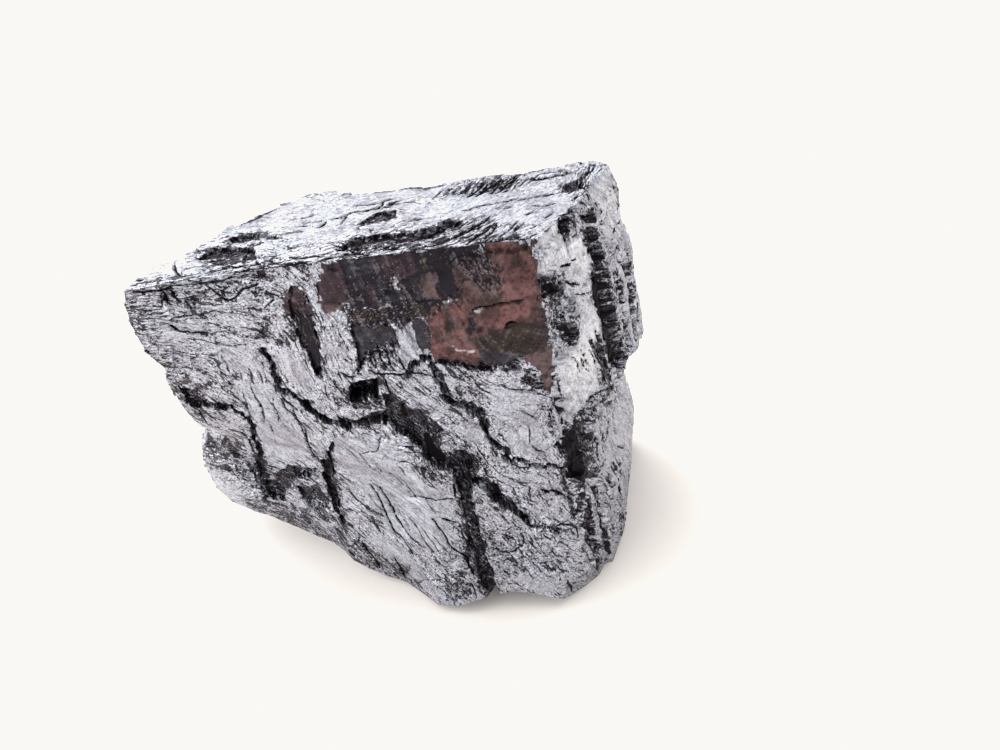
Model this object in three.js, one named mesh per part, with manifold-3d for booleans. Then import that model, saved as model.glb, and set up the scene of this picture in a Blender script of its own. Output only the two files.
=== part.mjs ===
// A hand specimen of galena: one cleaved block of lead sulphide.
//
// The block is grown as six curved sides between twelve broken edges. Each side is
// blended from its four edges, the sides are joined into one closed skin, and the
// cleavage steps, grooves, pits and ledges are then cut into it.
//
// Millimetres. +X to the right along the top front edge, +Y away from the broad
// front side, +Z up. The origin is under the middle of the block, on its foot.

import * as THREE from 'three';
import { mergeVertices } from 'three/addons/utils/BufferGeometryUtils.js';
import { ImprovedNoise } from 'three/addons/math/ImprovedNoise.js';
import Module from 'manifold-3d';

// ---------------------------------------------------------------- driving sizes

const BLOCK_HEIGHT = 64;          // foot to the level top side
const FACETS_ALONG = 27;          // grid facets along X, Y and Z on each side
const FACETS_DEEP = 14;
const FACETS_HIGH = 24;
const FOOT_SAG = 7;               // how far the underside would bulge below its foot
const LUMP_HEIGHT = 0.45;         // gentle lumps all over
const LUMP_SIZE = 7;
const LEDGE_HEIGHT = 1.1;         // rough ledges on the broken back, left and underside
const LEDGE_SIZE = 11;
const LEDGE_STEPS = 3;            // levels that the ledges' noise is rounded to, up and down
const LEDGE_SHIFT = 9;            // keeps the ledges' noise apart from the lumps'
const BACK_SHARE = 1.5;           // the back is more broken than the left end
const FOOT_FADE = 4;              // height over which the roughness runs out to the foot
const WELD = 1e-4;                // vertices closer than this are the same corner
const REACH = 12;                 // how far a cutting prism sticks out of the side
const SLAB_ROOT = 1;              // how far a raised slab reaches below the side
const FAR_OUT = 200;              // where the search for the skin starts from
const SEARCH_STEP = 0.02;         // part of the way to an outline's middle, each try

// The front edge of the foot stands off the table: how high at places along X, and how
// far up the front and back along the foot that lift runs out.
const TOE_LIFT = [[-29, 0], [-25.4, 1.4], [-21.9, 2.2], [-15.6, 4], [-11.8, 4.5], [-8.2, 3.9],
  [-4, 2.2], [-2.4, 1.3], [0.3, 0]];
const TOE_LEAN = -0.52;           // the lifted edge moves this share of the lift forwards
const TOE_HEIGHT = 14;
const TOE_DEPTH = [3, 14];        // the lift fades out between these depths under the foot
const TOE_SLOPE = 0.3;            // how the front leans back, in Y for each Z

// The front right corner of the foot, seen from the middle of the foot. The edges
// and the relief below are measured from that corner.
const FOOT_CORNER = new THREE.Vector3(23.62, -21.40, 0);

// ------------------------------------------------------------- corners and edges

const corner = {
  frontLeftFoot: [-62.9, 24.7, 11.5],
  frontRightFoot: [0.3, 0.9, 0],
  backLeftFoot: [-60, 41, 6],
  backRightFoot: [16.3, 31.5, 0],
  frontLeftTop: [-58.3, 18.4, 63.5],
  frontRightTop: [-4, 18.6, 63.8],
  backLeftTop: [-42.5, 31, 63.8],
  backRightTop: [8.9, 33.5, BLOCK_HEIGHT],
};

// Points between the two corners of each edge, from left to right, front to back
// or foot to top.
const between = {
  topFront: [[-53, 18.4, 64], [-48, 19.1, 63.6], [-42, 18.9, 64], [-31.5, 19, 64], [-12, 18.8, 64]],
  topBack: [[-39.5, 33.3, 63.6], [-37, 34.2, 63.4], [-21, 34.8, 63.6], [-8.5, 35.2, 63.8],
    [-4, 34.8, 63.8], [3, 35.6, 63.8], [7, 35.4, 63.9]],
  topLeft: [[-56.8, 20.4, 63.8], [-54, 23, 64], [-51.6, 23.8, 63.8], [-47, 28, 63.8]],
  topRight: [[-1.7, 20.9, 64], [0.4, 23.5, 64], [3.4, 26, 64], [5.1, 29.4, 64]],
  footFront: [[-60.6, 22.3, 9.9], [-54.2, 19.7, 8.2], [-49, 17.2, 6.8], [-43.2, 14.1, 4.8],
    [-39.7, 10.8, 3.3], [-34.9, 7.9, 2.1], [-30.7, 6.2, 1.1], [-27.4, 3.4, 0.4],
    [-25.4, 1.5, 0], [-21.9, 0.8, 0], [-15.6, 1.9, 0], [-11.8, 2, 0], [-8.2, 0.9, 0],
    [-4, -0.8, 0], [-2.4, -0.2, 0]],
  footBack: [[-48, 43.5, 2.5], [-35, 44.5, 0.5], [-20, 44.5, 0], [-5, 44, 0], [8, 40.5, 0]],
  footLeft: [[-64, 33, 8.5]],
  footRight: [[3.5, 2.8, 0], [5, 4.8, 0], [6.6, 5.1, 0], [10.2, 11.3, 0], [13.5, 21.1, 0]],
  frontLeft: [[-62.9, 24, 17.5], [-61.4, 23.4, 23], [-58.1, 22.2, 31.5], [-58.4, 21, 33.3],
    [-59.6, 20.5, 38.8], [-58.8, 19.5, 47.5], [-60.1, 19.2, 52], [-59.7, 18.7, 58.3]],
  frontRight: [[0.3, 1.6, 5.5], [-0.3, 4.9, 17], [-1.8, 6.5, 22.6], [-2.4, 7.6, 26.6],
    [-3.8, 10.1, 35.1], [-3.8, 11.6, 40.3], [-3.1, 13.8, 48.2], [-4.7, 16.7, 58.3]],
  backLeft: [[-58, 40, 25], [-52, 36.5, 45]],
  backRight: [[16.6, 31.7, 7.2], [16.2, 32, 11.5], [13.9, 32.7, 20.6], [15.6, 33, 26.1],
    [16.8, 32.9, 29.7], [16, 32.9, 34.4], [13.2, 32.7, 49.7], [11, 32.6, 55.4],
    [10.2, 32.6, 60.6]],
};

/** One edge as vectors, with the corners that it runs between. */
function edge(from, points, to) {
  return [corner[from], ...points, corner[to]].map((p) => new THREE.Vector3(...p));
}

const edges = {
  topFront: edge('frontLeftTop', between.topFront, 'frontRightTop'),
  topBack: edge('backLeftTop', between.topBack, 'backRightTop'),
  topLeft: edge('frontLeftTop', between.topLeft, 'backLeftTop'),
  topRight: edge('frontRightTop', between.topRight, 'backRightTop'),
  footFront: edge('frontLeftFoot', between.footFront, 'frontRightFoot'),
  footBack: edge('backLeftFoot', between.footBack, 'backRightFoot'),
  footLeft: edge('frontLeftFoot', between.footLeft, 'backLeftFoot'),
  footRight: edge('frontRightFoot', between.footRight, 'backRightFoot'),
  frontLeft: edge('frontLeftFoot', between.frontLeft, 'frontLeftTop'),
  frontRight: edge('frontRightFoot', between.frontRight, 'frontRightTop'),
  backLeft: edge('backLeftFoot', between.backLeft, 'backLeftTop'),
  backRight: edge('backRightFoot', between.backRight, 'backRightTop'),
};

/** The point at a fraction t of the length of a broken line. */
function along(points, t) {
  const reach = [0];
  for (let i = 1; i < points.length; i += 1) {
    reach.push(reach[i - 1] + points[i].distanceTo(points[i - 1]));
  }
  const wanted = t * reach[reach.length - 1];
  let i = 1;
  while (i < points.length - 1 && reach[i] < wanted) {
    i += 1;
  }
  const part = (wanted - reach[i - 1]) / (reach[i] - reach[i - 1]);
  return points[i - 1].clone().lerp(points[i], part);
}

// --------------------------------------------------------------------- the sides

// Each side lies between a low, a high, a left and a right edge. flip turns the
// triangles over where low-to-high and left-to-right would face inwards.
const sides = {
  front: { low: 'footFront', high: 'topFront', left: 'frontLeft', right: 'frontRight',
    across: FACETS_ALONG, up: FACETS_HIGH, flip: false },
  back: { low: 'footBack', high: 'topBack', left: 'backLeft', right: 'backRight',
    across: FACETS_ALONG, up: FACETS_HIGH, flip: true },
  top: { low: 'topFront', high: 'topBack', left: 'topLeft', right: 'topRight',
    across: FACETS_ALONG, up: FACETS_DEEP, flip: false },
  foot: { low: 'footFront', high: 'footBack', left: 'footLeft', right: 'footRight',
    across: FACETS_ALONG, up: FACETS_DEEP, flip: true },
  left: { low: 'footLeft', high: 'topLeft', left: 'frontLeft', right: 'backLeft',
    across: FACETS_DEEP, up: FACETS_HIGH, flip: true },
  right: { low: 'footRight', high: 'topRight', left: 'frontRight', right: 'backRight',
    across: FACETS_DEEP, up: FACETS_HIGH, flip: false },
};

/** A point of a side: the two blends between opposite edges, less the corners' own. */
function sidePoint(side, u, v) {
  const low = edges[side.low];
  const high = edges[side.high];
  const left = edges[side.left];
  const right = edges[side.right];
  const point = along(low, u).multiplyScalar(1 - v);
  point.addScaledVector(along(high, u), v);
  point.addScaledVector(along(left, v), 1 - u);
  point.addScaledVector(along(right, v), u);
  point.addScaledVector(low[0], -(1 - u) * (1 - v));
  point.addScaledVector(low[low.length - 1], -u * (1 - v));
  point.addScaledVector(high[0], -(1 - u) * v);
  point.addScaledVector(high[high.length - 1], -u * v);
  return point;
}

/** The grid of one side. The underside sags in the middle and is then cut off flat. */
function addSide(side, positions, triangles) {
  const first = positions.length / 3;
  const row = side.across + 1;
  for (let j = 0; j <= side.up; j += 1) {
    for (let i = 0; i <= side.across; i += 1) {
      const u = i / side.across;
      const v = j / side.up;
      const point = sidePoint(side, u, v);
      if (side === sides.foot) {
        point.z = Math.max(0, point.z - FOOT_SAG * Math.sin(Math.PI * u) * Math.sin(Math.PI * v));
      }
      positions.push(point.x, point.y, point.z);
    }
  }
  for (let j = 0; j < side.up; j += 1) {
    for (let i = 0; i < side.across; i += 1) {
      const a = first + j * row + i;
      const b = a + 1;
      const c = a + row;
      const d = c + 1;
      if (side.flip) {
        triangles.push(a, d, b, a, c, d);
      } else {
        triangles.push(a, b, d, a, d, c);
      }
    }
  }
}

const noise = new ImprovedNoise();

/** Height of the rough surface at a point: soft lumps, and ledges where it is broken. */
function roughness(point, normal) {
  const lump = noise.noise(point.x / LUMP_SIZE, point.y / LUMP_SIZE, point.z / LUMP_SIZE);
  const wave = noise.noise(point.x / LEDGE_SIZE + LEDGE_SHIFT, point.y / LEDGE_SIZE, point.z / LEDGE_SIZE);
  const ledge = Math.round(wave * LEDGE_STEPS) / LEDGE_STEPS;
  const broken = THREE.MathUtils.clamp(normal.y * BACK_SHARE - normal.x, 0, 1);
  const offFoot = THREE.MathUtils.smoothstep(point.z, 0, FOOT_FADE);
  return (lump * LUMP_HEIGHT + ledge * LEDGE_HEIGHT * broken) * offFoot;
}

/** The six sides as one closed skin, roughened along its normals. */
function roughSkin() {
  const positions = [];
  const triangles = [];
  for (const side of Object.values(sides)) {
    addSide(side, positions, triangles);
  }
  let skin = new THREE.BufferGeometry();
  skin.setAttribute('position', new THREE.Float32BufferAttribute(positions, 3));
  skin.setIndex(triangles);
  skin = mergeVertices(skin, WELD);
  skin.computeVertexNormals();
  const place = skin.getAttribute('position');
  const normals = skin.getAttribute('normal');
  const point = new THREE.Vector3();
  const normal = new THREE.Vector3();
  for (let i = 0; i < place.count; i += 1) {
    point.fromBufferAttribute(place, i);
    normal.fromBufferAttribute(normals, i);
    point.addScaledVector(normal, roughness(point, normal));
    place.setXYZ(i, point.x, point.y, Math.max(0, point.z));
  }
  skin.deleteAttribute('normal');
  return skin;
}

// ----------------------------------------------------- what is cut into the sides

// A place on a side is two of its three coordinates: x and z on the front and the
// back, x and y on the top, y and z on the two ends. outward is the third.
const facing = {
  front: { first: 'x', second: 'z', third: 'y', outward: -1 },
  back: { first: 'x', second: 'z', third: 'y', outward: 1 },
  top: { first: 'x', second: 'y', third: 'z', outward: 1 },
  left: { first: 'y', second: 'z', third: 'x', outward: -1 },
  right: { first: 'y', second: 'z', third: 'x', outward: 1 },
};

// Flat-floored recesses left where a cleaved flake came away. With a fade, the full
// depth is at the first level, and it has run out at the second.
const recesses = [
  // the small black square pit in the middle of the front
  { side: 'front', depth: 2.6, outline: [[-32.4, 45.1], [-28.5, 45.6], [-29, 42.4], [-33.4, 41.4]] },
  // the crumbled hollow where the staircase grooves meet
  { side: 'front', depth: 1.3, outline: [[-28.4, 42.8], [-25.4, 41.9], [-22, 40], [-20.3, 37.5],
    [-19.5, 34], [-17.2, 29.6], [-19.8, 28.8], [-23.2, 31], [-23.6, 34], [-25, 36.4],
    [-27.8, 37.2], [-29.4, 39.6]] },
  // steps below the mirror facets
  { side: 'front', depth: 0.8, outline: [[-30.7, 54.2], [-24.9, 54.2], [-24.9, 49.2], [-28.5, 49.8],
    [-31.3, 47], [-30.2, 50.5]] },
  { side: 'front', depth: 0.7, outline: [[-38.2, 57], [-37.7, 50], [-36.4, 45.8], [-35.7, 49],
    [-35.7, 60.5], [-37.4, 61.4]] },
  { side: 'front', depth: 0.7, outline: [[-19.8, 47.9], [-14.6, 45.6], [-7.6, 45.4], [-8.2, 46.8],
    [-14.2, 46.4], [-18.4, 48.4]] },
  // broken patches low on the left of the front
  { side: 'front', depth: 1.2, outline: [[-52.4, 25], [-50.4, 25], [-49.6, 21.6], [-46.4, 24.4],
    [-41.6, 24.4], [-43.4, 22.4], [-46.2, 21.6], [-48.2, 19], [-49.6, 14], [-52.6, 14.6]] },
  { side: 'front', depth: 0.8, outline: [[-47, 19.6], [-42.4, 20.4], [-41.2, 15.4], [-45, 14.6]] },
  { side: 'front', depth: 1, outline: [[-58.4, 44], [-56, 43.4], [-55.4, 40], [-58.2, 39.6]] },
  // shallow dark patches on the top
  { side: 'top', depth: 0.6, outline: [[-49, 22.6], [-47.6, 24.6], [-41.8, 23.8], [-41, 21.4], [-45, 21.2]] },
  { side: 'top', depth: 0.6, outline: [[-46, 26.4], [-43.8, 27.6], [-40.2, 27], [-38.8, 25.2], [-44, 25.4]] },
  { side: 'top', depth: 0.7, outline: [[-31, 21.2], [-28.4, 22.8], [-20, 22.6], [-15.4, 24.8],
    [-13.8, 24.2], [-20, 20.4], [-26.4, 19.9]] },
  { side: 'top', depth: 0.5, outline: [[-28.4, 26.6], [-25.2, 28.6], [-22.4, 28.8], [-22.6, 27],
    [-26, 26.6]] },
  { side: 'top', depth: 0.7, outline: [[0.8, 29.2], [3.6, 30.8], [4.6, 28.6], [1.6, 27.8]] },
  // the dark hollow and the flutes down the right end
  { side: 'right', depth: 2.1, outline: [[25, 62.4], [27.2, 61], [27.8, 56], [26, 51], [25, 46],
    [25.2, 41], [26, 35], [25.4, 30.8], [21.2, 31.4], [20.6, 38], [21, 46], [21.8, 51.6],
    [23.8, 54.6], [24, 58.6]] },
  { side: 'right', depth: 1.3, outline: [[27.4, 49], [28, 49], [28.6, 40], [28.2, 31], [27.2, 31],
    [27, 40]] },
  { side: 'right', depth: 1.1, outline: [[30, 50], [31.2, 47], [31, 38], [30.6, 31.4], [29.6, 31.6],
    [29.8, 40]] },
  { side: 'right', depth: 1.3, outline: [[21.6, 59.4], [24.4, 63.4], [22.6, 63.4]] },
  { side: 'right', depth: 1.2, outline: [[15.6, 51], [17.4, 48.4], [16.4, 45.6], [15, 48]] },
  { side: 'right', depth: 1, outline: [[9.4, 31.6], [12.8, 33.8], [16, 34.4], [13.6, 32],
    [11, 27], [8.8, 22.6], [7.8, 23.4]] },
  // the lip that the slab behind that hollow ends in
  { side: 'right', depth: 1.5, fade: [30.4, 17], outline: [[18.6, 28.6], [20.6, 30.6], [24, 29.8],
    [26.4, 30.6], [29.4, 29], [34, 29.8], [34, 15], [18.6, 15]] },
  // cleavage steps down the back, which run out at its lower edges
  { side: 'back', depth: 2.4, outline: [[-70, -2], [-28.4, -2], [-27.6, 13], [-34.6, 13.4], [-34, 27],
    [-43, 27.6], [-42.4, 41], [-70, 42]] },
  { side: 'back', depth: 4.7, outline: [[-70, -2], [-44.2, -2], [-43.8, 10], [-51.6, 10.4],
    [-51.2, 24], [-70, 24.6]] },
  { side: 'back', depth: 1.8, outline: [[-12.4, -2], [9, -2], [9.4, 12], [3.2, 12.4], [3.6, 22],
    [-5, 22.4], [-5.4, 16], [-12, 16.2]] },
  { side: 'back', depth: 1.2, outline: [[-24.4, 36], [-10, 35.4], [-9.6, 44], [-3, 43.8], [-2.6, 56],
    [-17, 56.6], [-17.4, 50], [-24, 50.4]] },
  // and down the left end
  { side: 'left', depth: 1.9, outline: [[28.6, 13.4], [50, 12.6], [50, 36], [35.4, 36.4],
    [35, 26], [28.2, 26.4]] },
  { side: 'left', depth: 1.2, outline: [[23.4, 46], [28.4, 45.6], [28.8, 53], [33, 53.6], [33, 59],
    [24.6, 58.6]] },
];

// Grooves that follow the cleavage like a staircase. width is at the start and end.
const grooves = [
  // from under the dark bar down to the hollow
  { side: 'front', depth: 1.2, width: [0.6, 1], path: [[-43.5, 51], [-43, 48], [-43.6, 44.6],
    [-43.2, 43.2], [-41.6, 42.6], [-39.8, 40.8]] },
  { side: 'front', depth: 1.5, width: [1.4, 1.8], path: [[-40.2, 41.2], [-38.8, 39.2], [-36.8, 37.8],
    [-34.4, 37.3], [-31.4, 37.7], [-28.4, 39.2]] },
  // the long groove down to the front edge of the foot
  { side: 'front', depth: 1.8, width: [1.8, 2.1], path: [[-19.2, 30.4], [-18.4, 26], [-18, 20],
    [-17.4, 14], [-16.8, 8], [-15.8, 0.6]] },
  // the second staircase, right of the first
  { side: 'front', depth: 1.2, width: [0.8, 1], path: [[-24, 46.6], [-23, 48.5], [-20.8, 48.4],
    [-19.6, 45.8], [-19.2, 43]] },
  { side: 'front', depth: 1.3, width: [1.2, 0.9], path: [[-19.3, 43.4], [-18.2, 40.8], [-16.4, 39.8],
    [-14.5, 38], [-13.9, 35.4], [-12.8, 33], [-11.2, 31.4], [-11, 29.8]] },
  { side: 'front', depth: 0.8, width: [0.6, 0.5], path: [[-11.2, 29.7], [-8, 29.2], [-5.4, 28.6],
    [-2.9, 27.2]] },
  // and the third, to the lower right
  { side: 'front', depth: 1.2, width: [2, 1.6], path: [[-17.2, 26.4], [-14.8, 25.6], [-13, 22.6],
    [-11.2, 19.8]] },
  { side: 'front', depth: 0.9, width: [1, 0.6], path: [[-11.4, 20.2], [-10, 18.2], [-8.2, 16.4],
    [-5, 16.4], [-2.4, 15]] },
  // the grooves around the left lobe
  { side: 'front', depth: 1, width: [0.9, 0.7], path: [[-56.6, 41], [-54, 39.8], [-51.8, 39.6],
    [-50.2, 38], [-49.8, 35], [-50.2, 31], [-50.9, 27], [-51.4, 24.6]] },
  { side: 'front', depth: 1.3, width: [0.5, 1.5], path: [[-37.7, 32.4], [-38.8, 29], [-39.7, 26.2],
    [-40.2, 23.6]] },
  { side: 'front', depth: 1.3, width: [1.6, 0.9], path: [[-40.2, 24], [-40.4, 20], [-40.2, 16.4],
    [-39.6, 13.8]] },
  // flutes low on the right end
  { side: 'right', depth: 0.9, width: [0.7, 1.3], path: [[17.5, 31.5], [17.6, 27], [18.2, 22.4],
    [19.4, 19.6]] },
  { side: 'right', depth: 0.8, width: [1.1, 0.7], path: [[15, 14.8], [12.4, 10.8], [10.8, 7]] },
  { side: 'right', depth: 0.7, width: [0.7, 0.6], path: [[6.8, 20], [5.4, 14], [4.4, 8], [3.8, 2]] },
];

// Slabs that stand proud of the side around them.
const slabs = [
  // the mirror facets high on the right of the front
  { side: 'front', height: 0.5, outline: [[-11.6, 63], [-5.8, 62.8], [-4.8, 60], [-4.4, 54],
    [-4.6, 50], [-7.6, 47.4], [-12, 46.5], [-15, 47], [-20.2, 49.6], [-19.8, 55], [-16, 57]] },
  { side: 'front', height: 0.4, outline: [[-34.2, 58], [-33.8, 61], [-32.5, 62.9], [-30.2, 63.2],
    [-30.2, 58]] },
  { side: 'front', height: 0.5, outline: [[-24.7, 54.4], [-22.9, 54.8], [-22.3, 49.6], [-23.2, 48.9],
    [-24.6, 48.7]] },
  // crumbled ridge on the left lobe
  { side: 'front', height: 0.6, outline: [[-56, 26], [-53.6, 24.8], [-52.8, 18], [-53.6, 14.2],
    [-55.2, 15], [-56.4, 20]] },
  // plates left standing on the right end
  { side: 'right', height: 0.7, outline: [[18.6, 62.8], [21.4, 62.4], [21.6, 59.6], [20, 56.6], [18, 58]] },
  { side: 'right', height: 0.8, outline: [[12.6, 44.6], [14.6, 45.4], [14.8, 37.4], [12.6, 34.6],
    [11.4, 36]] },
  // plates left standing on the back
  { side: 'back', height: 1.3, outline: [[-36, 46.4], [-26.4, 46], [-26, 59.6], [-35.6, 60]] },
  { side: 'back', height: 1.5, outline: [[-20, 23.6], [-13.6, 23.2], [-13.2, 32.6], [-19.6, 33]] },
];

// ------------------------------------------------------------------ cutting tools

const scout = new THREE.Raycaster();

/** The third coordinate of the skin at a place on a side, or null where it misses. */
function hitLevel(skinMesh, view, place) {
  const from = new THREE.Vector3();
  from[view.first] = place.x;
  from[view.second] = place.y;
  from[view.third] = view.outward * FAR_OUT;
  const heading = new THREE.Vector3();
  heading[view.third] = -view.outward;
  scout.set(from, heading);
  const hit = scout.intersectObject(skinMesh)[0];
  return hit ? hit.point[view.third] : null;
}

/** The same, but a place past the side's edge moves towards the middle until it hits. */
function skinLevel(skinMesh, view, place, middle) {
  for (let part = 0; part < 1; part += SEARCH_STEP) {
    const level = hitLevel(skinMesh, view, place.clone().lerp(middle, part));
    if (level !== null) {
      return level;
    }
  }
  throw new Error('an outline lies off its side');
}

/** How deep a recess is at a place, where it may fade out along its side. */
function depthAt(recess, place) {
  if (!recess.fade) {
    return recess.depth;
  }
  const [full, none] = recess.fade;
  return (recess.depth * (place.y - none)) / (full - none);
}

/**
 * A prism over an outline on a side. Its two ends follow the skin: one lies below it
 * by inner(place), the other above it by outer.
 */
function prism(skinMesh, view, outline, inner, outer) {
  const places = outline.map((p) => new THREE.Vector2(...p));
  const middle = places.reduce((sum, p) => sum.add(p), new THREE.Vector2()).divideScalar(places.length);
  const levels = places.map((place) => skinLevel(skinMesh, view, place, middle));
  const geometry = new THREE.ExtrudeGeometry(new THREE.Shape(places), { depth: 1, bevelEnabled: false });
  geometry.deleteAttribute('normal');
  geometry.deleteAttribute('uv');
  const corners = geometry.getAttribute('position');
  for (let i = 0; i < corners.count; i += 1) {
    const place = new THREE.Vector2(corners.getX(i), corners.getY(i));
    const nearest = places.reduce((best, p, k) => (
      p.distanceToSquared(place) < places[best].distanceToSquared(place) ? k : best), 0);
    const shift = corners.getZ(i) > 0 ? outer : -inner(place);
    const point = new THREE.Vector3();
    point[view.first] = place.x;
    point[view.second] = place.y;
    point[view.third] = levels[nearest] + view.outward * shift;
    corners.setXYZ(i, point.x, point.y, point.z);
  }
  return mergeVertices(geometry, WELD);
}

/** The outline of a groove: its path moved half its width to each side. */
function grooveOutline(path, [startWidth, endWidth]) {
  const points = path.map((p) => new THREE.Vector2(...p));
  const near = [];
  const far = [];
  points.forEach((point, i) => {
    const before = points[Math.max(0, i - 1)];
    const after = points[Math.min(points.length - 1, i + 1)];
    const run = after.clone().sub(before).normalize();
    const part = i / (points.length - 1);
    const half = THREE.MathUtils.lerp(startWidth, endWidth, part) / 2;
    near.push([point.x - run.y * half, point.y + run.x * half]);
    far.unshift([point.x + run.y * half, point.y - run.x * half]);
  });
  return [...near, ...far];
}

const wasm = await Module();
wasm.setup();

/** A closed geometry as a solid, whichever way round its triangles run. */
function solid(geometry) {
  const index = Uint32Array.from(geometry.getIndex().array);
  const place = geometry.getAttribute('position');
  let volume = 0;
  const a = new THREE.Vector3();
  const b = new THREE.Vector3();
  const c = new THREE.Vector3();
  for (let i = 0; i < index.length; i += 3) {
    a.fromBufferAttribute(place, index[i]);
    b.fromBufferAttribute(place, index[i + 1]);
    c.fromBufferAttribute(place, index[i + 2]);
    volume += a.dot(b.cross(c));
  }
  if (volume < 0) {
    index.reverse();
  }
  const mesh = new wasm.Mesh({ numProp: 3, vertProperties: Float32Array.from(place.array), triVerts: index });
  return new wasm.Manifold(mesh);
}

// ---------------------------------------------------------------------- the block

/** The value at x of a broken line of [x, value] pairs, and 0 beyond its ends. */
function valueAt(pairs, x) {
  for (let i = 1; i < pairs.length; i += 1) {
    const [x0, y0] = pairs[i - 1];
    const [x1, y1] = pairs[i];
    if (x >= x0 && x <= x1) {
      return y0 + ((y1 - y0) * (x - x0)) / (x1 - x0);
    }
  }
  return 0;
}

/** Moves the front edge of the foot up and a little forwards, off the table. */
function liftToe(geometry) {
  const place = geometry.getAttribute('position');
  const point = new THREE.Vector3();
  for (let i = 0; i < place.count; i += 1) {
    point.fromBufferAttribute(place, i);
    const under = point.y - TOE_SLOPE * point.z;
    const share = (1 - THREE.MathUtils.smoothstep(point.z, 0, TOE_HEIGHT))
      * (1 - THREE.MathUtils.smoothstep(under, ...TOE_DEPTH));
    const lift = valueAt(TOE_LIFT, point.x) * share;
    place.setXYZ(i, point.x, point.y + TOE_LEAN * lift, point.z + lift);
  }
}

/** The rough skin with every slab added, every recess and groove cut, and the toe lifted. */
function galenaBlock() {
  const skin = roughSkin();
  const skinMesh = new THREE.Mesh(skin, new THREE.MeshStandardMaterial({ side: THREE.DoubleSide }));
  let block = solid(skin);
  for (const slab of slabs) {
    const view = facing[slab.side];
    block = block.add(solid(prism(skinMesh, view, slab.outline, () => SLAB_ROOT, slab.height)));
  }
  for (const groove of grooves) {
    const outline = grooveOutline(groove.path, groove.width);
    const tool = prism(skinMesh, facing[groove.side], outline, () => groove.depth, REACH);
    block = block.subtract(solid(tool));
  }
  for (const recess of recesses) {
    const inner = (place) => depthAt(recess, place);
    const tool = prism(skinMesh, facing[recess.side], recess.outline, inner, REACH);
    block = block.subtract(solid(tool));
  }
  const cut = block.getMesh();
  const geometry = new THREE.BufferGeometry();
  geometry.setAttribute('position', new THREE.Float32BufferAttribute(cut.vertProperties, 3));
  geometry.setIndex(Array.from(cut.triVerts));
  liftToe(geometry);
  geometry.translate(FOOT_CORNER.x, FOOT_CORNER.y, FOOT_CORNER.z);
  return geometry;
}

const galena = new THREE.MeshStandardMaterial({
  name: 'galena',
  color: new THREE.Color(0.56, 0.56, 0.6),
  roughness: 0.35,
  metalness: 1,
});

const block = new THREE.Mesh(galenaBlock(), galena);
block.name = 'galena_block';

const specimen = new THREE.Group();
specimen.add(block);

export default specimen;
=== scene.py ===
# %% [markdown]
# # A galena specimen, as one carved surface
# Galena is lead sulphide. It breaks along three square-on cleavage planes, so a lump of
# it shows bright flat steps, staircase grooves and square pits, next to dull crumbled
# places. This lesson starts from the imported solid, which gives the size and the place,
# and makes the visible block around it as one closed numpy surface.

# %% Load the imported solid
import math
import time
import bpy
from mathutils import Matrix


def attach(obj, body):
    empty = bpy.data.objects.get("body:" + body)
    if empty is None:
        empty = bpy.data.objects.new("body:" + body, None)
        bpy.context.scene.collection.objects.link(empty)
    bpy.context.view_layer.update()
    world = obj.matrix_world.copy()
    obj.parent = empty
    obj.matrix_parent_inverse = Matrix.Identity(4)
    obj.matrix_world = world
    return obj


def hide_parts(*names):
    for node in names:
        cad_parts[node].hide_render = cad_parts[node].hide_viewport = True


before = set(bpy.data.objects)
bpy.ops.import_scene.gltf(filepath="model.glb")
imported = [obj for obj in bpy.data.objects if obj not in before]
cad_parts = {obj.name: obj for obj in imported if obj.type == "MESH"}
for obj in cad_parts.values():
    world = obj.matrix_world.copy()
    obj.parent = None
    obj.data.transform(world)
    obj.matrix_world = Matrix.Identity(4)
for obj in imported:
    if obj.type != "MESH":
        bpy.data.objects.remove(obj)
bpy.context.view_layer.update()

from types import SimpleNamespace

import bpy
import numpy as np
from mathutils import Matrix, Vector

MM = 0.001
STARTED = time.time()

# %% [markdown]
# ## The camera
# The camera comes first, so that every later step can be looked at. It stands close to
# the block, a hand's length above the front, and looks down at nearly half a right
# angle. A camera matrix is three unit vectors (right, up, and back towards the eye) and
# a place, so those are written down and nothing has to be aimed.

# %% Make the camera
FOOT_CORNER = np.array([23.62, -21.40, 0.0])   # front right corner of the foot, in mm
EYE = np.array([-17.16, -63.70, 127.04])       # the eye, in mm from that corner
RIGHT = Vector((0.9901, -0.1318, -0.0476))
UP = Vector((0.1288, 0.7215, 0.6803))
LENS_MM = 28.0


def add_camera():
    """A camera at EYE whose axes are RIGHT, UP and their cross product."""
    lens = bpy.data.cameras.new("camera")
    lens.lens = LENS_MM
    lens.clip_start = 0.005
    camera = bpy.data.objects.new("camera", lens)
    back = RIGHT.cross(UP).normalized()
    up = back.cross(RIGHT).normalized()
    axes = Matrix((RIGHT.normalized(), up, back)).transposed().to_4x4()
    camera.matrix_world = Matrix.Translation(Vector((EYE + FOOT_CORNER) * MM)) @ axes
    bpy.context.scene.collection.objects.link(camera)
    bpy.context.scene.camera = camera
    return camera


camera = add_camera()
print("camera at", [round(v, 4) for v in camera.matrix_world.translation])

# %% [markdown]
# ## The twelve broken edges
# A block has eight corners and twelve edges, and on a broken lump every edge is crooked.
# Each edge is a short list of points in mm, measured from the front right corner of the
# foot, and a fraction of its length gives a point on it. Modelling the edges first keeps
# the outline true from every side; the faces between them follow.

# %% Corners and edges
CORNER = {
    "front_left_foot": (-62.9, 24.7, 11.5),
    "front_right_foot": (0.3, 0.9, 0),
    "back_left_foot": (-60, 41, 6),
    "back_right_foot": (16.3, 31.5, 0),
    "front_left_top": (-58.3, 18.4, 63.5),
    "front_right_top": (-4, 18.6, 63.8),
    "back_left_top": (-42.5, 31, 63.8),
    "back_right_top": (8.9, 33.5, 64),
}

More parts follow.
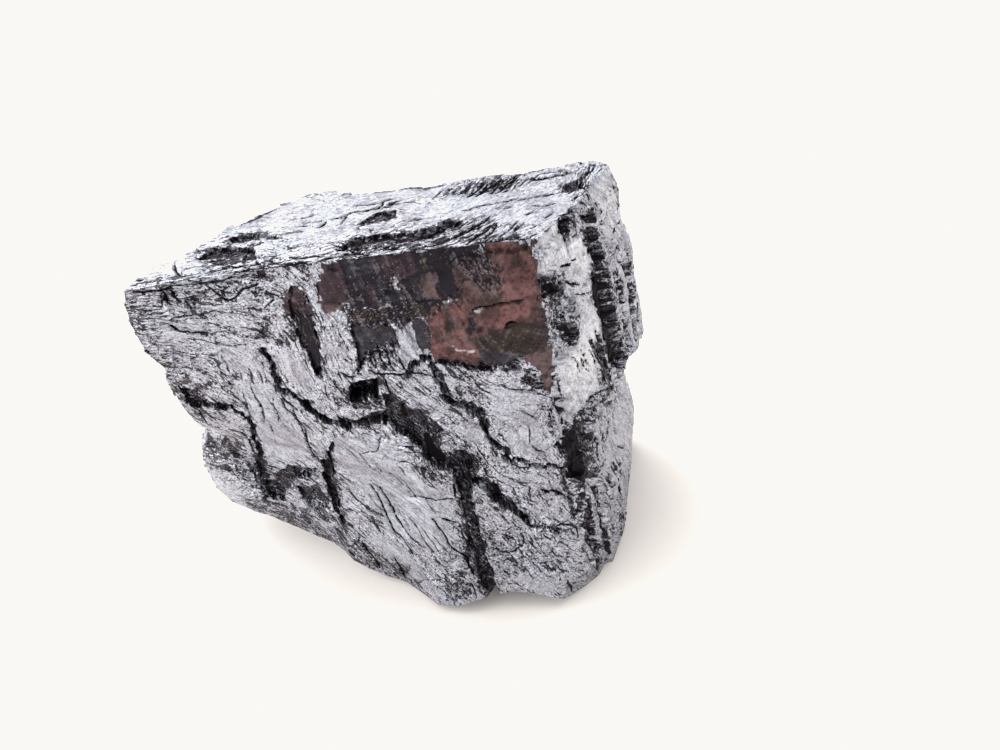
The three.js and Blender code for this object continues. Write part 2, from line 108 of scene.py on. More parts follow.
# Points between two corners, from left to right, front to back or foot to top.
BETWEEN = {
    "top_front": [(-53, 18.4, 64), (-48, 19.1, 63.6), (-42, 18.9, 64), (-31.5, 19, 64), (-12, 18.8, 64)],
    "top_back": [(-39.5, 33.3, 63.6), (-37, 34.2, 63.4), (-21, 34.8, 63.6), (-8.5, 35.2, 63.8),
        (-4, 34.8, 63.8), (3, 35.6, 63.8), (7, 35.4, 63.9)],
    "top_left": [(-56.8, 20.4, 63.8), (-54, 23, 64), (-51.6, 23.8, 63.8), (-47, 28, 63.8)],
    "top_right": [(-1.7, 20.9, 64), (0.4, 23.5, 64), (3.4, 26, 64), (5.1, 29.4, 64)],
    "foot_front": [(-60.6, 22.3, 9.9), (-54.2, 19.7, 8.2), (-49, 17.2, 6.8), (-43.2, 14.1, 4.8),
        (-39.7, 10.8, 3.3), (-34.9, 7.9, 2.1), (-30.7, 6.2, 1.1), (-27.4, 3.4, 0.4), (-25.4, 1.5, 0),
        (-21.9, 0.8, 0), (-15.6, 1.9, 0), (-11.8, 2, 0), (-8.2, 0.9, 0), (-4, -0.8, 0), (-2.4, -0.2, 0)],
    "foot_back": [(-48, 43.5, 2.5), (-35, 44.5, 0.5), (-20, 44.5, 0), (-5, 44, 0), (8, 40.5, 0)],
    "foot_left": [(-64, 33, 8.5)],
    "foot_right": [(3.5, 2.8, 0), (5, 4.8, 0), (6.6, 5.1, 0), (10.2, 11.3, 0), (13.5, 21.1, 0)],
    "front_left": [(-62.9, 24, 17.5), (-61.4, 23.4, 23), (-58.1, 22.2, 31.5), (-58.4, 21, 33.3),
        (-59.6, 20.5, 38.8), (-58.8, 19.5, 47.5), (-60.1, 19.2, 52), (-59.7, 18.7, 58.3)],
    "front_right": [(0.3, 1.6, 5.5), (-0.3, 4.9, 17), (-1.8, 6.5, 22.6), (-2.4, 7.6, 26.6),
        (-3.8, 10.1, 35.1), (-3.8, 11.6, 40.3), (-3.1, 13.8, 48.2), (-4.7, 16.7, 58.3)],
    "back_left": [(-58, 40, 25), (-52, 36.5, 45)],
    "back_right": [(16.6, 31.7, 7.2), (16.2, 32, 11.5), (13.9, 32.7, 20.6), (15.6, 33, 26.1),
        (16.8, 32.9, 29.7), (16, 32.9, 34.4), (13.2, 32.7, 49.7), (11, 32.6, 55.4), (10.2, 32.6, 60.6)],
}

# The two corners that each edge runs between.
EDGE_ENDS = {
    "top_front": ("front_left_top", "front_right_top"),
    "top_back": ("back_left_top", "back_right_top"),
    "top_left": ("front_left_top", "back_left_top"),
    "top_right": ("front_right_top", "back_right_top"),
    "foot_front": ("front_left_foot", "front_right_foot"),
    "foot_back": ("back_left_foot", "back_right_foot"),
    "foot_left": ("front_left_foot", "back_left_foot"),
    "foot_right": ("front_right_foot", "back_right_foot"),
    "front_left": ("front_left_foot", "front_left_top"),
    "front_right": ("front_right_foot", "front_right_top"),
    "back_left": ("back_left_foot", "back_left_top"),
    "back_right": ("back_right_foot", "back_right_top"),
}
EDGE = {name: np.array([CORNER[start], *BETWEEN[name], CORNER[end]], float)
        for name, (start, end) in EDGE_ENDS.items()}


def reach_of(points):
    """How far along a broken line each of its points lies: the lengths of its pieces,
    added up."""
    lengths = np.linalg.norm(np.diff(points, axis=0), axis=1)
    return np.concatenate([[0.0], np.cumsum(lengths)])


def along(points, t):
    """Points at fractions t of a broken line's length, each coordinate interpolated
    between the line's own points."""
    reach = reach_of(points)
    return np.stack([np.interp(t * reach[-1], reach, points[:, k]) for k in range(3)], -1)


print("edges:", len(EDGE), "longest", round(max(np.ptp(e, axis=0).max() for e in EDGE.values()), 1), "mm")

# %% [markdown]
# ## Six sides as one closed grid
# A Coons patch fills the space between four edges: it adds the blend between the low and
# the high edge to the blend between the left and the right edge, and takes away what the
# corners gave twice. Six patches close the block. Their grids share the points on each
# edge, so those are merged by rounding their places, and the mesh has no gap.
# The underside is made to sag and is then cut off level, which gives the flat foot.

# %% Build the grid
GRID_ACROSS, GRID_DEEP, GRID_HIGH = ((330, 150, 330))
FOOT_SAG = 7.0

# low, high, left and right edge, points across and up, and 1 where low-to-high and
# left-to-right already turn the faces outwards
SIDES = {
    "front": ("foot_front", "top_front", "front_left", "front_right", GRID_ACROSS, GRID_HIGH, 1),
    "back": ("foot_back", "top_back", "back_left", "back_right", GRID_ACROSS, GRID_HIGH, -1),
    "top": ("top_front", "top_back", "top_left", "top_right", GRID_ACROSS, GRID_DEEP, 1),
    "foot": ("foot_front", "foot_back", "foot_left", "foot_right", GRID_ACROSS, GRID_DEEP, -1),
    "left": ("foot_left", "top_left", "front_left", "back_left", GRID_DEEP, GRID_HIGH, -1),
    "right": ("foot_right", "top_right", "front_right", "back_right", GRID_DEEP, GRID_HIGH, 1),
}
SIDE_NUMBER = {name: i for i, name in enumerate(SIDES)}


def coons(low, high, left, right, across, up):
    """Grid of points between four edges: (1-v) low + v high + (1-u) left + u right, less
    the same blend of the four corners."""
    u = np.linspace(0, 1, across + 1)
    v = np.linspace(0, 1, up + 1)
    uu, vv = u[:, None, None], v[None, :, None]
    rows = (1 - vv) * along(low, u)[:, None] + vv * along(high, u)[:, None]
    columns = (1 - uu) * along(left, v)[None] + uu * along(right, v)[None]
    corners = (1 - uu) * ((1 - vv) * low[0] + vv * high[0]) + uu * ((1 - vv) * low[-1] + vv * high[-1])
    return rows + columns - corners


def side_grid(name):
    """A side's points and its four-cornered faces, numbered within the side."""
    low, high, left, right, across, up, outward = SIDES[name]
    points = coons(EDGE[low], EDGE[high], EDGE[left], EDGE[right], across, up)
    if name == "foot":
        u = np.linspace(0, 1, across + 1)[:, None]
        v = np.linspace(0, 1, up + 1)[None, :]
        sag = FOOT_SAG * np.sin(np.pi * u) * np.sin(np.pi * v)
        points[..., 2] = np.maximum(points[..., 2] - sag, 0)
    number = np.arange((across + 1) * (up + 1)).reshape(across + 1, up + 1)
    a, b = number[:-1, :-1].ravel(), number[1:, :-1].ravel()
    c, d = number[1:, 1:].ravel(), number[:-1, 1:].ravel()
    faces = np.stack([a, b, c, d] if outward > 0 else [a, d, c, b], -1)
    return points.reshape(-1, 3), faces


def closed_block():
    """All six grids in one list of points and faces, with the shared edge points merged,
    and the side that each face belongs to."""
    points, faces, owners, first = [], [], [], 0
    for name in SIDES:
        side_points, side_faces = side_grid(name)
        points.append(side_points)
        faces.append(side_faces + first)
        owners.append(np.full(len(side_faces), SIDE_NUMBER[name]))
        first += len(side_points)
    points = np.concatenate(points)
    _, kept, back = np.unique(np.round(points, 4), axis=0, return_index=True, return_inverse=True)
    return points[kept], back.reshape(-1)[np.concatenate(faces)], np.concatenate(owners)


block_points, block_faces, block_side = closed_block()
print("grid:", len(block_points), "points,", len(block_faces), "faces")


def members(side):
    """The points that a side's faces use."""
    return np.unique(block_faces[block_side == SIDE_NUMBER[side]])


def point_normals(points, faces):
    """Unit normals at the points: the cross product of each face's diagonals, added up
    at its corners."""
    diagonal = points[faces[:, 2]] - points[faces[:, 0]]
    other = points[faces[:, 3]] - points[faces[:, 1]]
    face_normal = np.cross(diagonal, other)
    total = np.zeros_like(points)
    for k in range(4):
        for axis in range(3):
            total[:, axis] += np.bincount(faces[:, k], face_normal[:, axis], len(points))
    return total / np.maximum(np.linalg.norm(total, axis=1), 1e-9)[:, None]


volume = np.einsum("ij,ij->i", block_points[block_faces[:, 0]],
                   np.cross(block_points[block_faces[:, 2]] - block_points[block_faces[:, 0]],
                            block_points[block_faces[:, 3]] - block_points[block_faces[:, 1]])).sum() / 6
print("faces point outwards:", bool(volume > 0))

# %% [markdown]
# ## Repeatable random relief
# Broken mineral is rough at every scale, and two kinds of random number make it. One is
# smooth: random heights on a lattice of points with an S-curve between them. The other
# is blocky: one flat height for each little cube, which is how crumbled galena breaks.
# Both get their numbers by mixing the bits of the lattice place, so the same block comes
# out every time.

# %% Noise helpers
PRIMES = (0x9E3779B1, 0x85EBCA77, 0xC2B2AE3D)


def lattice_random(cell, seed):
    """A number from 0 to 1 for each whole-number place: its coordinates times primes,
    folded together, and the bits stirred twice."""
    whole = cell.astype(np.int64).astype(np.uint32)
    mixed = np.full(whole.shape[0], (seed * 0x27D4EB2F) & 0xFFFFFFFF, np.uint32)
    for axis in range(whole.shape[1]):
        mixed = (mixed ^ (whole[:, axis] * np.uint32(PRIMES[axis]))) * np.uint32(0x165667B1)
        mixed ^= mixed >> np.uint32(15)
    mixed *= np.uint32(0x2C1B3C6D)
    mixed ^= mixed >> np.uint32(13)
    return mixed / np.float64(2 ** 32)


def smooth_noise(points, size, seed):
    """Value noise from -1 to 1: the lattice corners around a point, blended by the
    S-curve 3t^2 - 2t^3 along each axis. size is the lattice spacing."""
    place = points / size
    cell = np.floor(place)
    part = place - cell
    part = part * part * (3 - 2 * part)
    total = np.zeros(len(points))
    dimensions = points.shape[1]
    for corner_number in range(2 ** dimensions):
        offset = np.array([(corner_number >> k) & 1 for k in range(dimensions)], float)
        weight = np.prod(np.where(offset > 0, part, 1 - part), axis=1)
        total += weight * lattice_random(cell + offset, seed)
    return total * 2 - 1


def rough_noise(points, size, octaves, seed):
    """Smooth noise with finer and finer copies added, each half as high."""
    total = np.zeros(len(points))
    for k in range(octaves):
        total += smooth_noise(points, size / 2 ** k, seed + 31 * k) / 2 ** k
    return total


def cube_noise(points, size, seed):
    """One height from -1 to 1 for each cube of that size."""
    return lattice_random(np.floor(points / size), seed) * 2 - 1


def ramp(value, low, high):
    """0 below low, 1 above high, and a straight line between."""
    return np.clip((value - low) / (high - low), 0, 1)


def soft_ramp(value, low, high):
    """The same with an S-curve between."""
    t = ramp(value, low, high)
    return t * t * (3 - 2 * t)


check_noise = smooth_noise(block_points[:1000], 7.0, 1)
print("noise from", round(check_noise.min(), 2), "to", round(check_noise.max(), 2))

# %% [markdown]
# ## Lumps
# First the soft relief that a hand feels: lumps a few mm wide all over, and stepped
# ledges on the back, the left end and the underside, where the block was torn off rather
# than cleaved. Every point moves along its own normal, and the foot stays flat.

# %% Add the lumps
LUMP_SIZE, LUMP_HEIGHT = 7.0, 0.32
LEDGE_SIZE, LEDGE_HEIGHT = 11.0, 0.9
LEDGE_STEPS = 2.2               # the ledges are rounded to this many levels each way
LUMP_SEED, LEDGE_SEED = 11, 12
FOOT_FADE = 4.0                 # height over which relief fades out towards the foot


def add_lumps(points, faces):
    """point + normal * (lumps + ledges * how far the normal faces back or left), faded
    out near the foot."""
    normal = point_normals(points, faces)
    lumps = rough_noise(points, LUMP_SIZE, 3, LUMP_SEED) * LUMP_HEIGHT
    levels = np.round(rough_noise(points, LEDGE_SIZE, 2, LEDGE_SEED) * LEDGE_STEPS)
    ledges = levels / LEDGE_STEPS * LEDGE_HEIGHT
    broken = np.clip(normal[:, 1] * 1.5 - normal[:, 0], 0, 1)
    height = (lumps + ledges * broken) * soft_ramp(points[:, 2], 0, FOOT_FADE)
    moved = points + normal * height[:, None]
    moved[:, 2] = np.maximum(moved[:, 2], 0)
    return moved


block_points = add_lumps(block_points, block_faces)
print("lumps added")

# %% [markdown]
# ## What is cut into the sides
# Cleavage leaves flat-floored recesses where a flake came off, grooves that climb like a
# staircase, and slabs that stand proud. Each is a small outline or path on one side,
# given by two of the three coordinates. A signed distance (positive inside) tells how
# far a point is from that outline, so one number both carves the wall and, later, darkens
# the floor. Open cracks are paths with a width. The larger ones are drawn one by one, and
# the sheaves of small ones are made by a function from a start, a step and a run.

# %% Say which way the sides face
# For each side: the two coordinates that a place on it is given by, the third one, and
# the way that side faces along it.
FACING = {
    "front": (0, 2, 1, -1),
    "back": (0, 2, 1, 1),
    "top": (0, 1, 2, 1),
    "left": (1, 2, 0, -1),
    "right": (1, 2, 0, 1),
}
PLACE_AXES = {side: FACING[side][:2] for side in FACING} | {"foot": (0, 1)}


def on(side, rows):
    """The rows of a list, each with the side that it is on put first."""
    return [(side, *row) for row in rows]


def places_on(side, points):
    """The two coordinates of each point that give its place on the side."""
    return points[:, list(PLACE_AXES[side])]


print("sides:", list(FACING))

# %% Outline the recesses
PIT_DEPTH = 2.6                 # the square pit, whose outline stays crisp
PIT_OUTLINE = [(-32.4, 45.1), (-28.5, 45.6), (-29, 42.4), (-33.2, 41.6)]

# side, depth and outline of each recess
RECESSES = on("front", [
    (PIT_DEPTH, PIT_OUTLINE),
    (1.3, [(-28.3, 43), (-26.4, 42.8), (-24.2, 40.8), (-22.2, 40.4), (-21.4, 38.4), (-20.2, 36.6),
        (-21.2, 34.6), (-20.6, 33), (-19, 32.2), (-16.4, 31.6), (-15.8, 29.4), (-19.2, 28.6), (-20.6, 29.5),
        (-22.6, 30.4), (-23.4, 33.4), (-25.2, 35.8), (-27.4, 36.6), (-28.6, 39.4)]),
    (0.8, [(-30.7, 54.2), (-24.9, 54.2), (-24.9, 49.2), (-28.5, 49.8), (-31.3, 47), (-30.2, 50.5)]),
    (0.7, [(-38.2, 57), (-37.7, 50), (-36.4, 45.8), (-35.7, 49), (-35.7, 60.5), (-37.4, 61.4)]),
    (0.7, [(-19.8, 47.9), (-14.6, 45.6), (-7.6, 45.4), (-8.2, 46.8), (-14.2, 46.4), (-18.4, 48.4)]),
    (1.2, [(-52.4, 25), (-50.4, 25), (-49.6, 21.6), (-46.4, 24.4), (-41.6, 24.4), (-43.4, 22.4),
        (-46.2, 21.6), (-48.2, 19), (-49.6, 14), (-52.6, 14.6)]),
    (0.8, [(-47, 19.6), (-42.4, 20.4), (-41.2, 15.4), (-45, 14.6)]),
    (1.0, [(-58.4, 44), (-56, 43.4), (-55.4, 40), (-58.2, 39.6)]),
]) + on("top", [
    (0.6, [(-49, 22.6), (-47.6, 24.6), (-41.8, 23.8), (-41, 21.4), (-45, 21.2)]),
    (0.6, [(-46, 26.4), (-43.8, 27.6), (-40.2, 27), (-38.8, 25.2), (-44, 25.4)]),
    (0.7, [(-31, 21.2), (-28.4, 22.8), (-20, 22.6), (-15.4, 24.8), (-13.8, 24.2), (-20, 20.4),
        (-26.4, 19.9)]),
    (0.5, [(-28.4, 26.6), (-25.2, 28.6), (-22.4, 28.8), (-22.6, 27), (-26, 26.6)]),
    (0.7, [(0.8, 29.2), (3.6, 30.8), (4.6, 28.6), (1.6, 27.8)]),
]) + on("right", [
    (2.1, [(25, 62.4), (27.2, 61), (27.8, 56), (26, 51), (25, 46), (25.2, 41), (26, 35), (25.4, 30.8),
        (21.2, 31.4), (20.6, 38), (21, 46), (21.8, 51.6), (23.8, 54.6), (24, 58.6)]),
    (1.3, [(27.4, 49), (28, 49), (28.6, 40), (28.2, 31), (27.2, 31), (27, 40)]),
    (1.1, [(30, 50), (31.2, 47), (31, 38), (30.6, 31.4), (29.6, 31.6), (29.8, 40)]),
    (1.3, [(21.6, 59.4), (24.4, 63.4), (22.6, 63.4)]),
    (1.2, [(15.6, 51), (17.4, 48.4), (16.4, 45.6), (15, 48)]),
    (1.0, [(9.4, 31.6), (12.8, 33.8), (16, 34.4), (13.6, 32), (11, 27), (8.8, 22.6), (7.8, 23.4)]),
]) + on("back", [
    (2.4, [(-70, -2), (-28.4, -2), (-27.6, 13), (-34.6, 13.4), (-34, 27), (-43, 27.6), (-42.4, 41),
        (-70, 42)]),
    (4.7, [(-70, -2), (-44.2, -2), (-43.8, 10), (-51.6, 10.4), (-51.2, 24), (-70, 24.6)]),
    (1.8, [(-12.4, -2), (9, -2), (9.4, 12), (3.2, 12.4), (3.6, 22), (-5, 22.4), (-5.4, 16), (-12, 16.2)]),
    (1.2, [(-24.4, 36), (-10, 35.4), (-9.6, 44), (-3, 43.8), (-2.6, 56), (-17, 56.6), (-17.4, 50),
        (-24, 50.4)]),
]) + on("left", [
    (1.9, [(28.6, 13.4), (50, 12.6), (50, 36), (35.4, 36.4), (35, 26), (28.2, 26.4)]),
    (1.2, [(23.4, 46), (28.4, 45.6), (28.8, 53), (33, 53.6), (33, 59), (24.6, 58.6)]),
])

# The lip under the slab at the right end: full depth at its first level, none at its last.
LIP_DEPTH, LIP_LEVELS = 1.5, (30.4, 17.0)
LIP_OUTLINE = [(18.6, 28.6), (20.6, 30.6), (24, 29.8), (26.4, 30.6), (29.4, 29), (34, 29.8),
               (34, 15), (18.6, 15)]

print("recesses:", len(RECESSES))

# %% Outline the grooves and the slabs
# side, depth, width at the start and the end, and path of each groove
GROOVES = on("front", [
    (1.2, 0.6, 1.0, [(-43.5, 51), (-43, 48), (-43.6, 44.6), (-43.2, 43.2), (-41.6, 42.6), (-39.8, 40.8)]),
    (1.5, 1.4, 1.8, [(-40.2, 41.2), (-38.8, 39.2), (-36.8, 37.8), (-34.4, 37.3), (-31.4, 37.7),
        (-28.4, 39.2)]),
    (1.8, 1.8, 2.1, [(-19.2, 30.4), (-18.4, 26), (-18, 20), (-17.4, 14), (-16.8, 8), (-15.8, 0.6)]),
    (1.2, 0.8, 1.0, [(-24, 46.6), (-23, 48.5), (-20.8, 48.4), (-19.6, 45.8), (-19.2, 43)]),
    (1.3, 1.2, 0.9, [(-19.3, 43.4), (-18.2, 40.8), (-16.4, 39.8), (-14.5, 38), (-13.9, 35.4), (-12.8, 33),
        (-11.2, 31.4), (-11, 29.8)]),
    (0.8, 0.6, 0.5, [(-11.2, 29.7), (-8, 29.2), (-5.4, 28.6), (-2.9, 27.2)]),
    (1.2, 2.0, 1.6, [(-17.2, 26.4), (-14.8, 25.6), (-13, 22.6), (-11.2, 19.8)]),
    (0.9, 1.0, 0.6, [(-11.4, 20.2), (-10, 18.2), (-8.2, 16.4), (-5, 16.4), (-2.4, 15)]),
    (1.0, 0.9, 0.7, [(-56.6, 41), (-54, 39.8), (-51.8, 39.6), (-50.2, 38), (-49.8, 35), (-50.2, 31),
        (-50.9, 27), (-51.4, 24.6)]),
    (1.3, 0.5, 1.5, [(-37.7, 32.4), (-38.8, 29), (-39.7, 26.2), (-40.2, 23.6)]),
    (1.3, 1.6, 0.9, [(-40.2, 24), (-40.4, 20), (-40.2, 16.4), (-39.6, 13.8)]),
]) + on("right", [
    (0.9, 0.7, 1.3, [(17.5, 31.5), (17.6, 27), (18.2, 22.4), (19.4, 19.6)]),
    (0.8, 1.1, 0.7, [(15, 14.8), (12.4, 10.8), (10.8, 7)]),
    (0.7, 0.7, 0.6, [(6.8, 20), (5.4, 14), (4.4, 8), (3.8, 2)]),
])

# side, height and outline of each slab
SLABS = on("front", [
    (0.25, [(-11.6, 63), (-5.8, 62.8), (-4.8, 60), (-4.4, 54), (-4.6, 50), (-7.6, 47.4), (-12, 46.5),
        (-15, 47), (-20.2, 49.6), (-19.8, 55), (-16, 57)]),
    (0.12, [(-34.2, 58), (-33.8, 61), (-32.5, 62.9), (-30.2, 63.2), (-30.2, 58)]),
    (0.5, [(-24.7, 54.4), (-22.9, 54.8), (-22.3, 49.6), (-23.2, 48.9), (-24.6, 48.7)]),
    (0.6, [(-56, 26), (-53.6, 24.8), (-52.8, 18), (-53.6, 14.2), (-55.2, 15), (-56.4, 20)]),
]) + on("right", [
    (0.7, [(18.6, 62.8), (21.4, 62.4), (21.6, 59.6), (20, 56.6), (18, 58)]),
    (0.8, [(12.6, 44.6), (14.6, 45.4), (14.8, 37.4), (12.6, 34.6), (11.4, 36)]),
]) + on("back", [
    (1.3, [(-36, 46.4), (-26.4, 46), (-26, 59.6), (-35.6, 60)]),
    (1.5, [(-20, 23.6), (-13.6, 23.2), (-13.2, 32.6), (-19.6, 33)]),
])
print("grooves:", len(GROOVES), "slabs:", len(SLABS))

